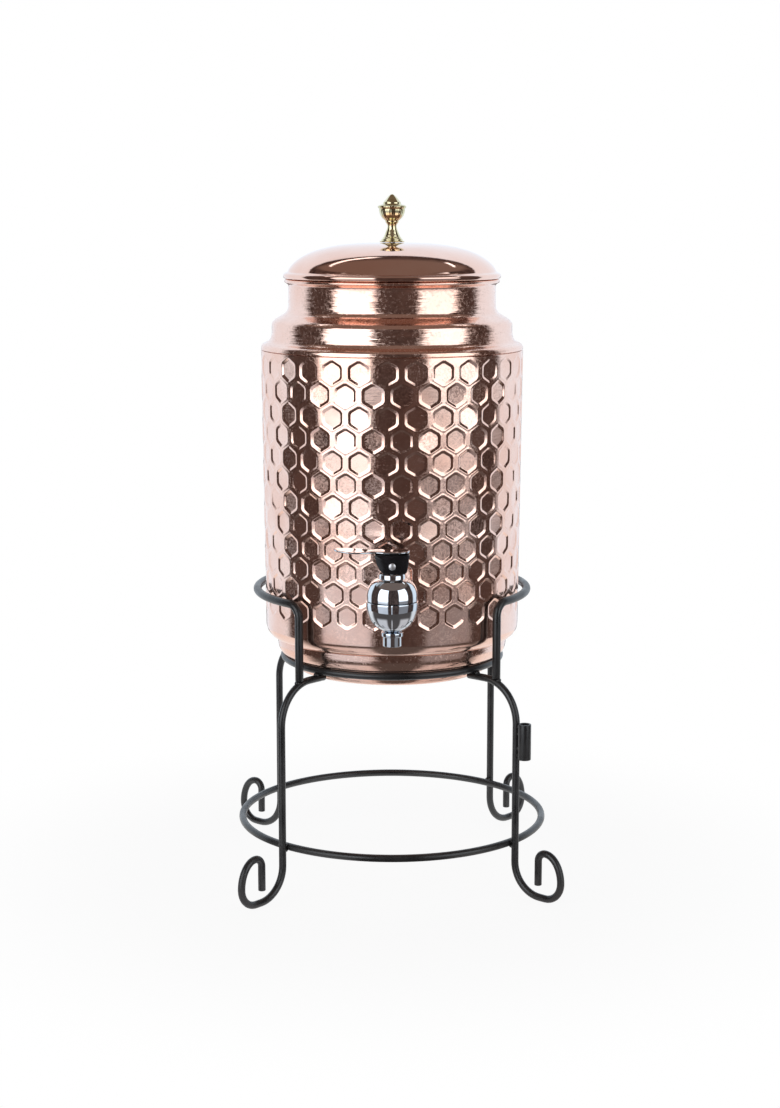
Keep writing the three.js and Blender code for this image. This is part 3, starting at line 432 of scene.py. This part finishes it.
def cell_outline():
    """Twelve points round a hexagon of half width 1, two near each corner, and the corners themselves."""
    angles = np.radians(30 + 60 * np.arange(6))
    corner = np.stack([np.cos(angles), np.sin(angles)], axis=1) / np.cos(np.pi / 6)
    before = corner + corner_share * (np.roll(corner, 1, axis=0) - corner)
    after = corner + corner_share * (np.roll(corner, -1, axis=0) - corner)
    return np.stack([before, after], axis=1).reshape(12, 2), corner


def cell_faces(rings):
    """Faces of one cell: its floor of twelve sides, the tips out to the shared corners, and the bands
    between rings with the sides out to the ridges."""
    j, k, last, shared = np.arange(12), np.arange(6), rings - 1, 12 * rings

    def ring(i, at):
        return 12 * i + at % 12

    bands = np.concatenate([
        np.stack([ring(i, j), ring(i + 1, j), ring(i + 1, j + 1), ring(i, j + 1)], axis=1)
        for i in range(last)])
    tips = np.stack([ring(last, 2 * k), shared + k, ring(last, 2 * k + 1)], axis=1)
    sides = np.stack(
        [ring(last, 2 * k + 1), shared + k, shared + (k + 1) % 6, ring(last, 2 * k + 2)], axis=1)
    return j[None], tips, np.concatenate([bands, sides])


def honeycomb(half_flats, depths, inset):
    """All cells of one face of the sheet. A cell's point (u, v) lies u round the wall and v up from the
    cell's middle, at the wall's radius less the inset and the depth. On a floor the depth loses a share of
    u^2 / 2r, which is what a flat plate in a round wall lacks, and gains a slight tilt of its own."""
    outline, corner = cell_outline()
    shared = np.stack([corner[:, 0] * column_pitch / 2, np.sign(corner[:, 1]) * tip_rise], axis=1)
    shared[[0, 2, 3, 5], 0] = np.array([1, -1, -1, 1]) * column_pitch / 2
    shared[[1, 4], 0] = 0
    shared[[0, 2, 3, 5], 1] = np.array([1, 1, -1, -1]) * (row_pitch - tip_rise)
    rings = (half_flats[:, None, None] * outline).reshape(-1, 2)
    flat = np.concatenate([rings, shared])
    depth = np.concatenate([depths.repeat(12), np.zeros(6)])
    row, column = np.arange(cell_rows)[:, None, None], np.arange(cell_columns)[None, :, None]
    height = first_row - row * row_pitch + flat[:, 1] + 0 * column
    height = np.minimum(height, first_row + top_margin)
    turn = pot_turn + 360 / cell_columns * (column + 0.5 * (row % 2)) + np.degrees(flat[:, 0] / cell_circle)
    on_floor = np.arange(len(flat)) < 12 * floor_rings
    tilt = floor_tilts[0] * flat[:, 0] + floor_tilts[1] * flat[:, 1]
    depth = depth + on_floor * (tilt - floor_flatness * flat[:, 0] ** 2 / (2 * cell_circle))
    points = around((barrel_radius(height) - inset - depth) * mm, turn, height * mm)
    shift = np.arange(cell_rows * cell_columns)[:, None, None] * len(flat)
    kinds = [(kind + shift).reshape(-1, kind.shape[1]) for kind in cell_faces(len(half_flats))]
    return points.reshape(-1, 3), kinds


def edge_loops(inset):
    """The zigzag edges of the honeycomb at one face, each as heights at every half column."""
    even = np.arange(2 * cell_columns) % 2 == 0
    top = first_row + np.where(even, top_margin, row_pitch - tip_rise)
    low = first_row - (cell_rows - 1) * row_pitch - np.where(even, row_pitch - tip_rise, tip_rise)
    return [np.stack([barrel_radius(line) - inset, line], axis=1) for line in (top, low)]


half_turns = pot_turn + 180 / cell_columns * np.arange(2 * cell_columns)
outer_top, outer_low = edge_loops(0)
inner_top, inner_low = edge_loops(sheet_wall)
lip_turn = -77.5
foot = np.concatenate([
    [(88, 175.8 + 3)],
    arc((78.6, 175.8), 9.4, 9.4, 0, lip_turn, 12),
    arc((78.6, 175.8), 8.4, 8.4, lip_turn, 0, 8),
])
rim = np.array([(89.0, 365.4), (89.25, 365.8), (89.75, 365.8), (90, 365.4)])


def plain_band(first_line, rings, last_line):
    """Rings of the plain wall between two zigzag edges, as a grid of rows by half columns."""
    plain = np.broadcast_to(rings[:, None], (len(rings), 2 * cell_columns, 2))
    rows = np.concatenate([first_line[None], plain, last_line[None]]) * mm
    return around(rows[..., 0], half_turns[None], rows[..., 1])


foot_grid = plain_band(outer_low, foot, inner_low)
rim_grid = plain_band(inner_top, rim, outer_top)
sheets = [
    honeycomb(cell_half_flats, cell_depths, 0),
    honeycomb(inner_half_flats, inner_depths, sheet_wall),
    (foot_grid.reshape(-1, 3), [np.array(grid_faces(foot_grid))]),
    (rim_grid.reshape(-1, 3), [np.array(grid_faces(rim_grid))]),
]
barrel_points = np.concatenate([points for points, _ in sheets])
starts = np.cumsum([0] + [len(points) for points, _ in sheets])
barrel_faces = sum(
    ((kind + start).tolist() for (_, kinds), start in zip(sheets, starts) for kind in kinds), [])

pressed_copper = worked_metal(
    "pressed_copper", copper_light, copper_deep,
    roughness=0.22, swing=0.15, tilt=0.012, dent=0.12 * mm, patches=30)
barrel = new_piece("copper_barrel", barrel_points, barrel_faces, pressed_copper, sharp=60)
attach(barrel, "pot")
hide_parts("pot_barrel")


# Shoulder and neck
# One spun ring of copper: a flare that sits on the barrel, a rounded step in to the neck, and a rolled
# bead round the mouth. Its skirt is soldered inside the barrel.

shoulder_outside = np.concatenate([
    [(87.7, 359.1), (87.7, 366.1), (89.7, 366.1)],
    eased([(90, 366.4), (89.8, 369.2), (83.7, 372.2), (82.5, 377)], 2.4, 8),
    eased([(82.5, 380), (82.5, 385.1), (71, 391.9), (71, 406)], 4.2, 9),
    eased([(71, 408), (71, 410.1), (73.09, 411.35)], 1.2)[1:-1],
    arc((71.8, 412.5), 2, 1.5, -50, 180, 18),
])
shoulder_inside = np.concatenate([
    eased([(69.8, 408), (69.8, 391.2), (81.3, 384.4), (81.3, 374.8)], 4.2, 7),
    arc((90, 374.8), 8.7, 8.7, -180, -114, 8)[1:],
    [(86.5, 359.1)],
])
shoulder_grid = turned(np.concatenate([shoulder_outside, shoulder_inside]), steps=240)
shoulder_faces = grid_faces(shoulder_grid, closed=True)
shoulder = new_piece("copper_shoulder", shoulder_grid, shoulder_faces, spun_copper, sharp=45)
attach(shoulder, "pot")
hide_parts("pot_shoulder")


# Lid
# A spun dome with a flat flange that rests on the bead, its edge turned over, and a plain collar
# soldered underneath that drops into the neck. The finial's screw and washer hold from inside.

lid_apex = 438.2
polished_copper = worked_metal(
    "polished_copper", copper_light, copper_deep, roughness=0.075, swing=0.03, tilt=0.012, dent=0.05 * mm)


def dome(radius, foot_height, rise, power, steps, stop=90, rise_power=None):
    """Upright quarter of a superellipse: r = R cos(t)^(2/p), z = foot + rise x sin(t)^(2/q), where q is p
    unless it is given."""
    t = np.radians(np.linspace(0, stop, steps))
    across = radius * np.cos(t).clip(0) ** (2 / power)
    return np.stack([across, foot_height + rise * np.sin(t) ** (2 / (rise_power or power))], axis=1)


lid_top = dome(71.8, 416.9, 21.3, 3.0, 48, rise_power=1.7)
lid_hollow = dome(70.6, 416.9, 20.1, 3.0, 30, rise_power=1.7)[::-1]
lid_outline = np.concatenate([
    [(68.0, 414.3)],
    eased(
        [(72.4, 414.3), (74.1, 414.3), (74.7, 416.6), (73.7, 417.7), (71.45, 418.6), lid_top[6]], 0.9, 7),
    lid_top[7:-1],
    [(2.3, lid_apex), (2.3, lid_apex - 1.2)],
    lid_hollow[1:],
    [(68.0, 416.9)],
])
lid_grid = turned(lid_outline, steps=240)
lid = new_piece("copper_lid", lid_grid, grid_faces(lid_grid, closed=True), polished_copper, sharp=50)
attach(lid, "lid")
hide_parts("lid_shell")

collar_outline = eased([(68.6, 414), (68, 414), (68, 405.5), (69.2, 405.5), (69.2, 414), (68.6, 414)], 0.4)
collar_grid = turned(collar_outline[:-1])
collar = new_piece("copper_lid_collar", collar_grid, grid_faces(collar_grid, closed=True), spun_copper)
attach(collar, "lid")
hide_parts("lid_collar")


def finish_hidden(finish, *node_names):
    """Gives these pieces, which stay as they were packed, one finish."""
    for node_name in node_names:
        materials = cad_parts[node_name].data.materials
        materials.clear()
        materials.append(finish)


plain_steel = worked_metal(
    "plain_steel", (0.62, 0.63, 0.65, 1), (0.5, 0.51, 0.53, 1),
    roughness=0.3, swing=0.08, tilt=0.03, dent=0.02 * mm)
finish_hidden(plain_steel, "knob_washer", "knob_screw")


# Finial
# Cast and turned brass: a bell foot with three ridges, a waist, a fluted cup with a beaded rim and a
# pointed bud with eight facets. The lid's screw goes up into it.

finial_foot = 438.5
finial_outline = [
    (2.3, 11.8), (2.3, 0), (8.2, 0), (8.5, 0.25), (8.5, 0.75), (7.8, 1.0), (7.3, 1.2), (7.3, 1.9),
    (7.0, 2.2), (6.5, 2.4), (6.4, 3.0), (6.0, 3.4), (5.6, 3.7), (5.4, 4.4), (5.0, 5.2), (4.6, 6.2),
    (4.2, 7.2), (3.5, 8.8), (3.1, 10.2), (3.1, 11.2), (3.5, 12.3), (4.4, 13.4), (4.7, 13.8),
    (4.6, 14.3), (5.1, 15.0), (6.5, 16.2), (7.8, 18.0), (8.5, 20.0), (8.8, 21.6), (8.8, 22.6),
    (9.4, 23.1), (9.7, 23.8), (9.4, 24.5), (8.6, 24.9), (7.0, 25.3), (6.2, 25.7), (6.0, 26.3),
    (6.0, 26.9), (5.4, 27.4), (4.6, 28.3), (3.4, 29.8), (2.0, 31.3), (0.9, 32.15), (0, 32.4),
]


def smoothed(outline):
    """Cuts every corner at a quarter and three quarters of its sides. The ends stay."""
    outline = np.asarray(outline, float)
    near = 0.75 * outline[:-1] + 0.25 * outline[1:]
    far = 0.25 * outline[:-1] + 0.75 * outline[1:]
    cut = np.stack([near, far], axis=1).reshape(-1, 2)
    return np.concatenate([outline[:1], cut, outline[-1:]])


def finial_surface(steps=192):
    """The turned outline. On the cup the radius waves 24 times round, on its rim 40 times, and the bud's
    radius is that of an octagon, r x cos 22.5 / cos(t - nearest flat)."""
    outline = smoothed(finial_outline)
    turns = np.linspace(0, 360, steps, endpoint=False)[None]
    radius, height = outline[:, :1], outline[:, 1:]
    cup = np.clip((height - 15.5) / 2, 0, 1) * np.clip((22.4 - height) / 1, 0, 1)
    rim_share = np.exp(-((height - 23.8) / 0.45) ** 2) * (radius > 8)
    bud = np.clip((height - 27.0) / 0.6, 0, 1)
    octagon = np.cos(np.radians(22.5)) / np.cos(np.radians(turns % 45 - 22.5))
    flutes = cup * 0.12 * np.abs(np.cos(np.radians(12 * turns)))
    rim_beads = rim_share * 0.16 * np.abs(np.cos(np.radians(20 * turns)))
    radius = (radius + (flutes + rim_beads)) * (1 + bud * (octagon - 1)) * mm
    return around(radius, turns, (finial_foot + height) * mm)


cast_brass = worked_metal(
    "cast_brass", (0.80, 0.74, 0.48, 1), (0.62, 0.54, 0.31, 1),
    roughness=0.16, swing=0.07, tilt=0.03, dent=0.05 * mm, patches=180)
finial_grid = finial_surface()
finial = new_piece("brass_finial", finial_grid, grid_faces(finial_grid), cast_brass, sharp=38)
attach(finial, "lid")
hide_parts("lid_knob")


# Tap's bowl and shank
# Zinc casting with bright chrome: an egg-shaped bowl with a short nozzle below, and a threaded shank
# with a flange that goes through the pot's wall. A thin parting line runs down its front.

tap_axis = (0, -106.913 * mm)
shank_height = 202.5
chrome = worked_metal(
    "bright_chrome", (0.74, 0.78, 0.82, 1), (0.62, 0.66, 0.71, 1),
    roughness=0.035, swing=0.02, tilt=0.006, dent=0.03 * mm, patches=90)

bowl_side = dome(17, 211.2, -20.2, 2.3, 26, 90 * 0.86)
nozzle = eased(
    [bowl_side[-1], (7.2, 190.8), (7.2, 188.4), (6.2, 188.2), (6.2, 181.8), (4.2, 181.8), (4.2, 192)], 0.35)
bowl_outline = np.concatenate([
    [(13.2, 210.6), (13.5, 211.3), (16.5, 211.4), (16.9, 211.2)],
    bowl_side[1:],
    nozzle[1:],
    [(4.2, 196.2), (5.2, 196.2), (6.2, 195.2), (9.5, 195.2), (11.5, 197.2), (11.5, 210.6)],
])
seam_rise, seam_radius, seam_foot, seam_points = 0.12 * mm, 6.3 * mm, 191 * mm, 31


def bowl_surface(steps=160):
    """The turned bowl, with a parting line down its front that stands up by rise x exp(-(t / 0.45)^2). The
    outline's first points have it, outside the seam's radius and over its foot."""
    turns = np.linspace(0, 360, steps, endpoint=False)
    turns = np.concatenate([turns, [-0.6, -0.25, 0.25, 0.6]])
    turns = np.sort((turns + 180) % 360 - 180)
    outline = bowl_outline * mm
    has_seam = (outline[:, 0] > seam_radius) & (outline[:, 1] > seam_foot)
    has_seam[seam_points:] = False
    seam = np.exp(-((turns / 0.45) ** 2))[None] * has_seam[:, None] * seam_rise
    return around(outline[:, :1] + seam, turns[None], outline[:, 1:], tap_axis)


bowl_grid = bowl_surface()
bowl = new_piece("chrome_bowl", bowl_grid, grid_faces(bowl_grid, closed=True), chrome, sharp=40)
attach(bowl, "pot")
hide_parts("tap_body")


def from_front(outline, height=shank_height, steps=64):
    """An outline of (radius, distance back from the tap's axis) turned round a level axis, at this height,
    that runs from front to back."""
    outline = np.asarray(outline, float)
    t = np.linspace(0, 2 * np.pi, steps, endpoint=False)[None]
    radius, back = outline[:, :1], tap_axis[1] / mm + outline[:, 1:]
    places = (radius * np.cos(t), back + 0 * t, height + radius * np.sin(t))
    return np.stack(places, axis=-1) * mm


thread_places = np.arange(27.5, 38.6, 0.5)
thread_radii = 7.8 - 0.45 * (np.arange(len(thread_places)) % 2)
shank_outline = np.concatenate([
    [(4.4, 14), (7.2, 14), (7.6, 19), (8.4, 21.3), (10.6, 21.9)],
    [(11, 22.2), (11, 24), (10.7, 24.4), (7.8, 24.4)],
    np.stack([thread_radii, thread_places], axis=1),
    [(7.4, 40), (4.6, 40), (4.4, 39.7)],
])
shank_grid = from_front(shank_outline)
shank = new_piece("chrome_shank", shank_grid, grid_faces(shank_grid, closed=True), chrome)
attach(shank, "pot")
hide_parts("tap_body")


# Bonnet
# The chromed cap that screws into the bowl. Its level top is the face that the lever's cam runs on,
# and the stem comes up through its middle.

bonnet_rise = 14.7 / np.sin(np.radians(63)) ** (2 / 2.6)
bonnet_side = dome(16.6, 212.2, bonnet_rise - 0.5, 2.6, 24, 63)
bonnet_outline = np.concatenate([
    [(11.2, 208.2), (11.2, 211.7), (16.2, 211.7), (16.6, 212.0)],
    bonnet_side[1:-2],
    [(9.6, 226.2), (9.0, 226.4), (8.8, 226.8), (8.8, 229.1), (8.5, 229.5), (2.7, 229.5)],
    [(2.7, 224.2), (9, 224.2), (9, 208.2)],
])
bonnet_grid = turned(bonnet_outline, tap_axis, 128)
bonnet = new_piece("chrome_bonnet", bonnet_grid, grid_faces(bonnet_grid, closed=True), chrome, sharp=35)
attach(bonnet, "pot")
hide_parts("tap_bonnet")


# Washers and nut of the shank
# Soft black washers seal both faces of the pot's wall, and a brass nut inside draws the shank tight.
# The outer one is squeezed against the flange.

soft_rubber = speckled(
    "soft_rubber", (0.016, 0.016, 0.017, 1), (0.03, 0.03, 0.031, 1),
    roughness=0.62, swing=0.1, size=150, peel=1600, depth=0.05 * mm)
washer_grid = from_front(eased(
    [(8.1, 25.4), (8.1, 24.7), (12, 24.7), (12, 27.4), (8.1, 27.2), (8.1, 25.4)], 0.4)[:-1])
washer_faces = grid_faces(washer_grid, closed=True)
washer = new_piece("rubber_outer_washer", washer_grid, washer_faces, soft_rubber)
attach(washer, "pot")
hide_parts("outer_washer")

finish_hidden(soft_rubber, "inner_washer")
finish_hidden(cast_brass, "tap_nut")


# Stem, seat cup and spring
# A steel stem with an eye for the lever's pin carries a milky soft cup that shuts the outlet. A coil
# spring under a washer in the bonnet presses it down. All of this is inside the tap.

milky_rubber = speckled(
    "milky_rubber", (0.70, 0.69, 0.64, 1), (0.78, 0.77, 0.73, 1),
    roughness=0.5, swing=0.08, size=200, peel=1500, depth=0.04 * mm)
finish_hidden(plain_steel, "tap_stem", "stem_spring", "spring_washer")
finish_hidden(milky_rubber, "seat_cup")


# Lever hub and pin
# Moulded in glossy black: a block with a rounded foot, whose underside is the cam. A steel pin goes
# through it and the stem's eye from front to back.

pin_height, bonnet_top, cam_rate, cam_gap = 234.9, 229.5, 3, 0.3
glossy_black = speckled(
    "glossy_black", (0.008, 0.008, 0.009, 1), (0.013, 0.012, 0.014, 1),
    roughness=0.16, swing=0.06, size=120, peel=900, depth=0.02 * mm)

turn = np.radians(np.linspace(0, 52, 10))
drop = pin_height - bonnet_top - cam_gap + cam_rate * turn
cam = np.stack([
    drop * np.sin(turn) + cam_rate * np.cos(turn),
    pin_height - drop * np.cos(turn) + cam_rate * np.sin(turn)], axis=1)
cam_side = np.concatenate([cam, [(9.8, 235.9), (10.9, 240), (11.3, 242.0), (11.0, 242.4)]]) * (-1, 1)
heel = [
    (4.5, 229.8), (7.8, 229.9), (8.8, 230.4), (9.6, 231.5),
    (10.4, 235.9), (10.9, 240), (11.3, 242.0), (11.0, 242.4)]
hub_outline = np.concatenate([heel, cam_side[::-1]])
hub_middle = np.array((0, 236.6))
shares = np.array([0, 0.93, 0.975, 1, 1, 0.975, 0.93, 0])
places = np.array([-7.5, -7.5, -7.3, -6.8, 6.8, 7.3, 7.5, 7.5])
section = hub_middle + shares[:, None, None] * (hub_outline - hub_middle)
back = tap_axis[1] + places[:, None] * mm + 0 * section[..., 0]
hub_grid = np.stack([section[..., 0] * mm, back, section[..., 1] * mm], axis=-1)
hub = new_piece("black_hub", hub_grid, grid_faces(hub_grid), glossy_black, sharp=30)


def carve(obj, cutter_points, cutter_faces):
    """Cuts a closed shape out of a piece with a Boolean whose result replaces the piece's mesh."""
    cutter = new_piece("cutter", cutter_points, cutter_faces, obj.data.materials[0])
    modifier = obj.modifiers.new("cut", "BOOLEAN")
    modifier.operation, modifier.object, modifier.solver = "DIFFERENCE", cutter, "EXACT"
    cut = bpy.data.meshes.new_from_object(obj.evaluated_get(bpy.context.evaluated_depsgraph_get()))
    obj.modifiers.clear()
    obj.data = cut
    bpy.data.objects.remove(cutter)


slot_half = np.array([12.8, 2.8, 0]) * mm
slot_signs = np.array([(-1, -1), (1, -1), (1, 1), (-1, 1)])
slot_foot = np.column_stack([slot_signs * slot_half[:2] + tap_axis, np.full(4, 224.5 * mm)])
slot_top = slot_foot + (0, 0, 14.6 * mm)
slot_box = np.stack([slot_foot, slot_top])
slot_faces = grid_faces(slot_box) + [[3, 2, 1, 0], [4, 5, 6, 7]]
carve(hub, slot_box, slot_faces)
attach(hub, "lever")
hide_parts("lever_hub")

pin_outline = np.concatenate([
    arc((0, -7.6), 2.3, 0.7, -90, 0, 9),
    [(2.3, -7.4), (2.1, -7.3), (2.1, 7.3)],
    arc((0, 7.3), 2.1, 0.5, 0, 90, 7),
])
pin_grid = from_front(pin_outline, pin_height, 40)
bright_steel = worked_metal(
    "bright_steel", (0.86, 0.86, 0.87, 1), (0.74, 0.74, 0.76, 1),
    roughness=0.42, swing=0.06, tilt=0.02, dent=0.01 * mm, patches=300)
pin = new_piece("steel_pin", pin_grid, grid_faces(pin_grid), bright_steel)
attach(pin, "lever")
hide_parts("lever_pin")


# Paddle
# Pressed steel, chromed: a plate on top of the hub that narrows to a waist and widens again into a
# tongue for the thumb. The tongue is dished a little and its edges are rounded over.

paddle_foot, paddle_thick, paddle_dish, paddle_bend = 242.7, 2.0, 0.6, 1.3
paddle_head, paddle_length, paddle_edge = 11.4, 48.9, 0.7
paddle_half_widths = np.array([
    (-37.5, 0), (-37, 3.0), (-35.4, 5.3), (-32.6, 7.1), (-29, 9.2), (-25, 9.7), (-20, 8.6),
    (-15.5, 6.9), (-12.8, 6.1), (-9.5, 6.5), (-6, 7.6), (0, 8.0), (5, 7.9), (8.2, 7.0),
    (10.2, 4.8), (11.2, 2.2), (11.4, 0),
])


def paddle_surface(steps=72, around_steps=28):
    """Cross-sections along the paddle: a superellipse, w cos(t)^e across by half a thickness x sin(t)^e up,
    whose w follows the half widths. The tongue's middle is dished, and it bends up with the square of the
    distance."""
    share = 0.5 - 0.5 * np.cos(np.linspace(0, np.pi, steps))
    along = paddle_head - share * paddle_length
    width = np.interp(along, *paddle_half_widths.T)
    t = np.linspace(0, 2 * np.pi, around_steps, endpoint=False)[None]
    across = np.sign(np.cos(t)) * np.abs(np.cos(t)) ** paddle_edge * width[:, None]
    thick = np.minimum(1, width / 2.2)[:, None] * paddle_thick / 2
    up = np.sign(np.sin(t)) * np.abs(np.sin(t)) ** paddle_edge * thick
    tongue = np.clip((-along - 13) / 6, 0, 1)[:, None]
    dish = -paddle_dish * tongue * (1 - (across / np.maximum(width[:, None], 1)) ** 2) * (up > 0)
    bend = paddle_bend * np.clip((-along - 14) / 23.5, 0, 1)[:, None] ** 2
    height = paddle_foot + paddle_thick / 2 + up + dish + bend
    places = (along[:, None] + 0 * t, tap_axis[1] / mm + across, height)
    return np.stack(np.broadcast_arrays(*places), axis=-1) * mm


paddle_grid = paddle_surface()
paddle = new_piece("chrome_paddle", paddle_grid, grid_faces(paddle_grid), chrome, sharp=60)
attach(paddle, "lever")
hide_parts("lever_paddle")


# Hole for the shank
# The barrel's wall is drilled once it has its honeycomb, and the washers cover the hole's edge. The
# wall's large faces then set the shading, so that each cell's floor looks flat up to its sides.

drill = from_front([(0, 18), (8.1, 18), (8.1, 36), (0, 36)], steps=48)
carve(barrel, drill, grid_faces(drill))
barrel.data.shade_smooth()
barrel.data.set_sharp_from_angle(angle=np.radians(60))
weights = barrel.modifiers.new("weights", "WEIGHTED_NORMAL")
weights.keep_sharp, weights.weight = True, 85
shaded = bpy.data.meshes.new_from_object(barrel.evaluated_get(bpy.context.evaluated_depsgraph_get()))
barrel.modifiers.clear()
barrel.data = shaded


# Floor, light and camera
# A white floor that runs into a white background, and the light of a plain photo studio: two tall soft
# boxes in front, left and right, a bowed tube overhead, a white backdrop behind, and a dim room around.

left_box, right_box = (-66, -19), (31, 75)
plain_white = (1, 1, 1, 1)
paper_dark, paper_light = (0.88, 0.88, 0.88, 1), (0.92, 0.92, 0.92, 1)
# Painted light: the floor's colours for reflections only, a painted dim shade in front of the object and
# painted pools of the left and right boxes' light near it.
painted_floor_shade, painted_floor_left_light, painted_floor_right_light = (0.1, 0.088, 0.085, 1), (0.78, 0.76, 0.78, 1), (0.7, 0.66, 0.66, 1)


def between(tree, value, low, high, soft):
    """1 where a value lies between low and high, with edges that fade over soft, and 0 elsewhere."""
    rise = spread(tree, value, low - soft, low + soft, steps="SMOOTHSTEP")
    fall = spread(tree, value, high + soft, high - soft, steps="SMOOTHSTEP")
    return times(tree, rise, fall)


def azimuth(tree, axes):
    """Degrees round the upright axis, from the front (-y) towards +x, of a separated vector."""
    front = times(tree, axes.outputs["Y"], -1)
    turn = add(tree, "Math", {0: axes.outputs["X"], 1: front}, operation="ARCTAN2").outputs[0]
    return add(tree, "Math", {0: turn}, operation="DEGREES").outputs[0]


def white_floor(name):
    """White paper that keeps the shadow. Seen by the camera it turns into plain white with distance from
    the object, so that its edge doesn't show. A reflection finds it white behind the object. In front of it
    the floor glows with a painted dim shade, and close to the object with painted pools of both boxes'
    light, and these are seen in reflections only."""
    material, tree, shader = new_material(name)
    tree.nodes.remove(shader)
    place = add(tree, "TexCoord").outputs["Object"]
    far = add(tree, "VectorMath", {0: place}, operation="LENGTH").outputs["Value"]
    rays = add(tree, "LightPath").outputs
    direct = times(tree, rays["Is Camera Ray"], spread(tree, far, 0.14, 0.4, 0.92, 1, steps="SMOOTHSTEP"))
    share = add(tree, "Math", {0: direct, 1: rays["Is Glossy Ray"]}, operation="MAXIMUM")
    axes = add(tree, "SeparateXYZ", {0: place})
    turn = azimuth(tree, axes)
    close = between(tree, far, -1, 0.29, 0.04)
    # Painted light, seen in reflections only: the floor in front glows a painted dim shade, with painted
    # pools of both boxes' light close to the object.
    front = blend(tree, times(tree, between(tree, turn, *left_box, 5), close), painted_floor_shade, painted_floor_left_light)
    front = blend(tree, times(tree, between(tree, turn, *right_box, 5), close), front, painted_floor_right_light)
    near = spread(tree, axes.outputs["Y"], 60 * mm, -80 * mm, steps="SMOOTHSTEP")
    painted_floor_reflection = blend(tree, times(tree, near, rays["Is Glossy Ray"]), plain_white, front)
    grain = add(tree, "TexNoise", {"Vector": place, "Scale": 40, "Detail": 4})
    paper = add(tree, "BsdfDiffuse", {"Color": blend(tree, grain.outputs["Fac"], paper_dark, paper_light)})
    white = add(tree, "Emission", {"Color": painted_floor_reflection, "Strength": 1})
    mixed = add(tree, "MixShader", {0: share.outputs[0], 1: paper.outputs[0], 2: white.outputs[0]})
    tree.links.new(mixed.outputs[0], tree.nodes["Material Output"].inputs["Surface"])
    return material


floor_turns = np.linspace(0, 360, 96, endpoint=False)[None]
floor_grid = around(np.array([0, 0.2, 0.4, 0.56])[:, None], floor_turns, 0.0, (0, 0.08))
floor = new_piece("floor", floor_grid, grid_faces(floor_grid), white_floor("white_paper"))
if floor.data.polygons[0].normal.z < 0:
    floor.data.flip_normals()

room_dark, room_light = (0.028, 0.02, 0.018, 1), (0.12, 0.084, 0.076, 1)
ceiling_brown, gap_brown = (0.2, 0.15, 0.13, 1), (0.16, 0.12, 0.11, 1)
backdrop_white = (0.93, 1.03, 1.14, 1)
ground_left, ground_right = (0.72, 0.76, 0.84, 1), (0.28, 0.28, 0.3, 1)
lamp_left, lamp_right = (2.3, 2.4, 2.5, 1), (1.8, 1.88, 1.96, 1)


def studio_world():
    """Light by direction, one layer over another on a dim cloudy room: the ceiling, the backdrop up to its
    edge at y = 0.82 z, the gap low in its middle, the boxes' light on the ground, the tube, and the boxes.
    The tube is where y/z + 0.6 (x/z)^2 lies in a narrow range. The camera sees plain white."""
    world = bpy.data.worlds.new("studio")
    world.use_nodes = True
    tree = world.node_tree
    direction = add(tree, "TexCoord").outputs["Generated"]
    axes = add(tree, "SeparateXYZ", {0: direction})
    x, y, z = axes.outputs
    turn = azimuth(tree, axes)
    cloud = add(tree, "TexNoise", {"Vector": direction, "Scale": 9, "Detail": 6, "Roughness": 0.75})
    seen = blend(tree, spread(tree, cloud.outputs["Fac"], 0.36, 0.66), room_dark, room_light)
    ceiling = times(tree, between(tree, z, 0.66, 2, 0.06), between(tree, y, -2, 0.45, 0.1))
    under_edge = add(tree, "Math", {0: z, 1: -0.82, 2: y}, operation="MULTIPLY_ADD").outputs[0]
    behind = times(tree, between(tree, y, 0.3, 2, 0.06), between(tree, under_edge, 0, 4, 0.03))
    opposite = add(tree, "Math", {0: turn}, operation="ABSOLUTE").outputs[0]
    gap = times(tree, between(tree, opposite, 167, 200, 1.5), between(tree, z, -2, -0.06, 0.03))
    across = add(tree, "Math", {0: x, 1: z}, operation="DIVIDE").outputs[0]
    ahead = add(tree, "Math", {0: y, 1: z}, operation="DIVIDE").outputs[0]
    square = times(tree, across, across)
    bow = add(tree, "Math", {0: square, 1: 0.6, 2: ahead}, operation="MULTIPLY_ADD").outputs[0]
    short, long = between(tree, across, 0.48, 0.72, 0.05), between(tree, across, -0.69, -0.1, 0.05)
    lengths = add(tree, "Math", {0: long, 1: short}, operation="ADD").outputs[0]
    tube = times(tree, between(tree, bow, 0.65, 0.73, 0.02), lengths)
    tube = times(tree, tube, between(tree, z, 0.5, 2, 0.05))
    left, right = between(tree, turn, *left_box, 2.5), between(tree, turn, *right_box, 2.5)
    below = between(tree, z, -0.6, 0, 0.025)
    layers = (
        (ceiling, ceiling_brown),
        (behind, backdrop_white),
        (gap, gap_brown),
        (times(tree, left, below), ground_left),
        (times(tree, right, below), ground_right),
        (tube, lamp_left),
        (times(tree, left, between(tree, z, -0.138, 0.64, 0.03)), lamp_left),
        (times(tree, right, between(tree, z, -0.126, 0.64, 0.025)), lamp_right),
        (add(tree, "LightPath").outputs["Is Camera Ray"], plain_white),
    )
    for share, colour in layers:
        seen = blend(tree, share, seen, colour)
    tree.links.new(seen, tree.nodes["Background"].inputs["Color"])
    return world


scene = bpy.context.scene
scene.world = studio_world()
scene.view_settings.view_transform = "Standard"

camera_data = bpy.data.cameras.new("camera")
camera_data.lens, camera_data.sensor_width = 67.83, 36
camera_data.clip_end = 100
camera = bpy.data.objects.new("camera", camera_data)
camera.location = (-1.4 * mm, -1431.63 * mm, 463.5 * mm)
camera.rotation_euler = (np.radians(80.51), 0, 0)
scene.collection.objects.link(camera)
scene.camera = camera
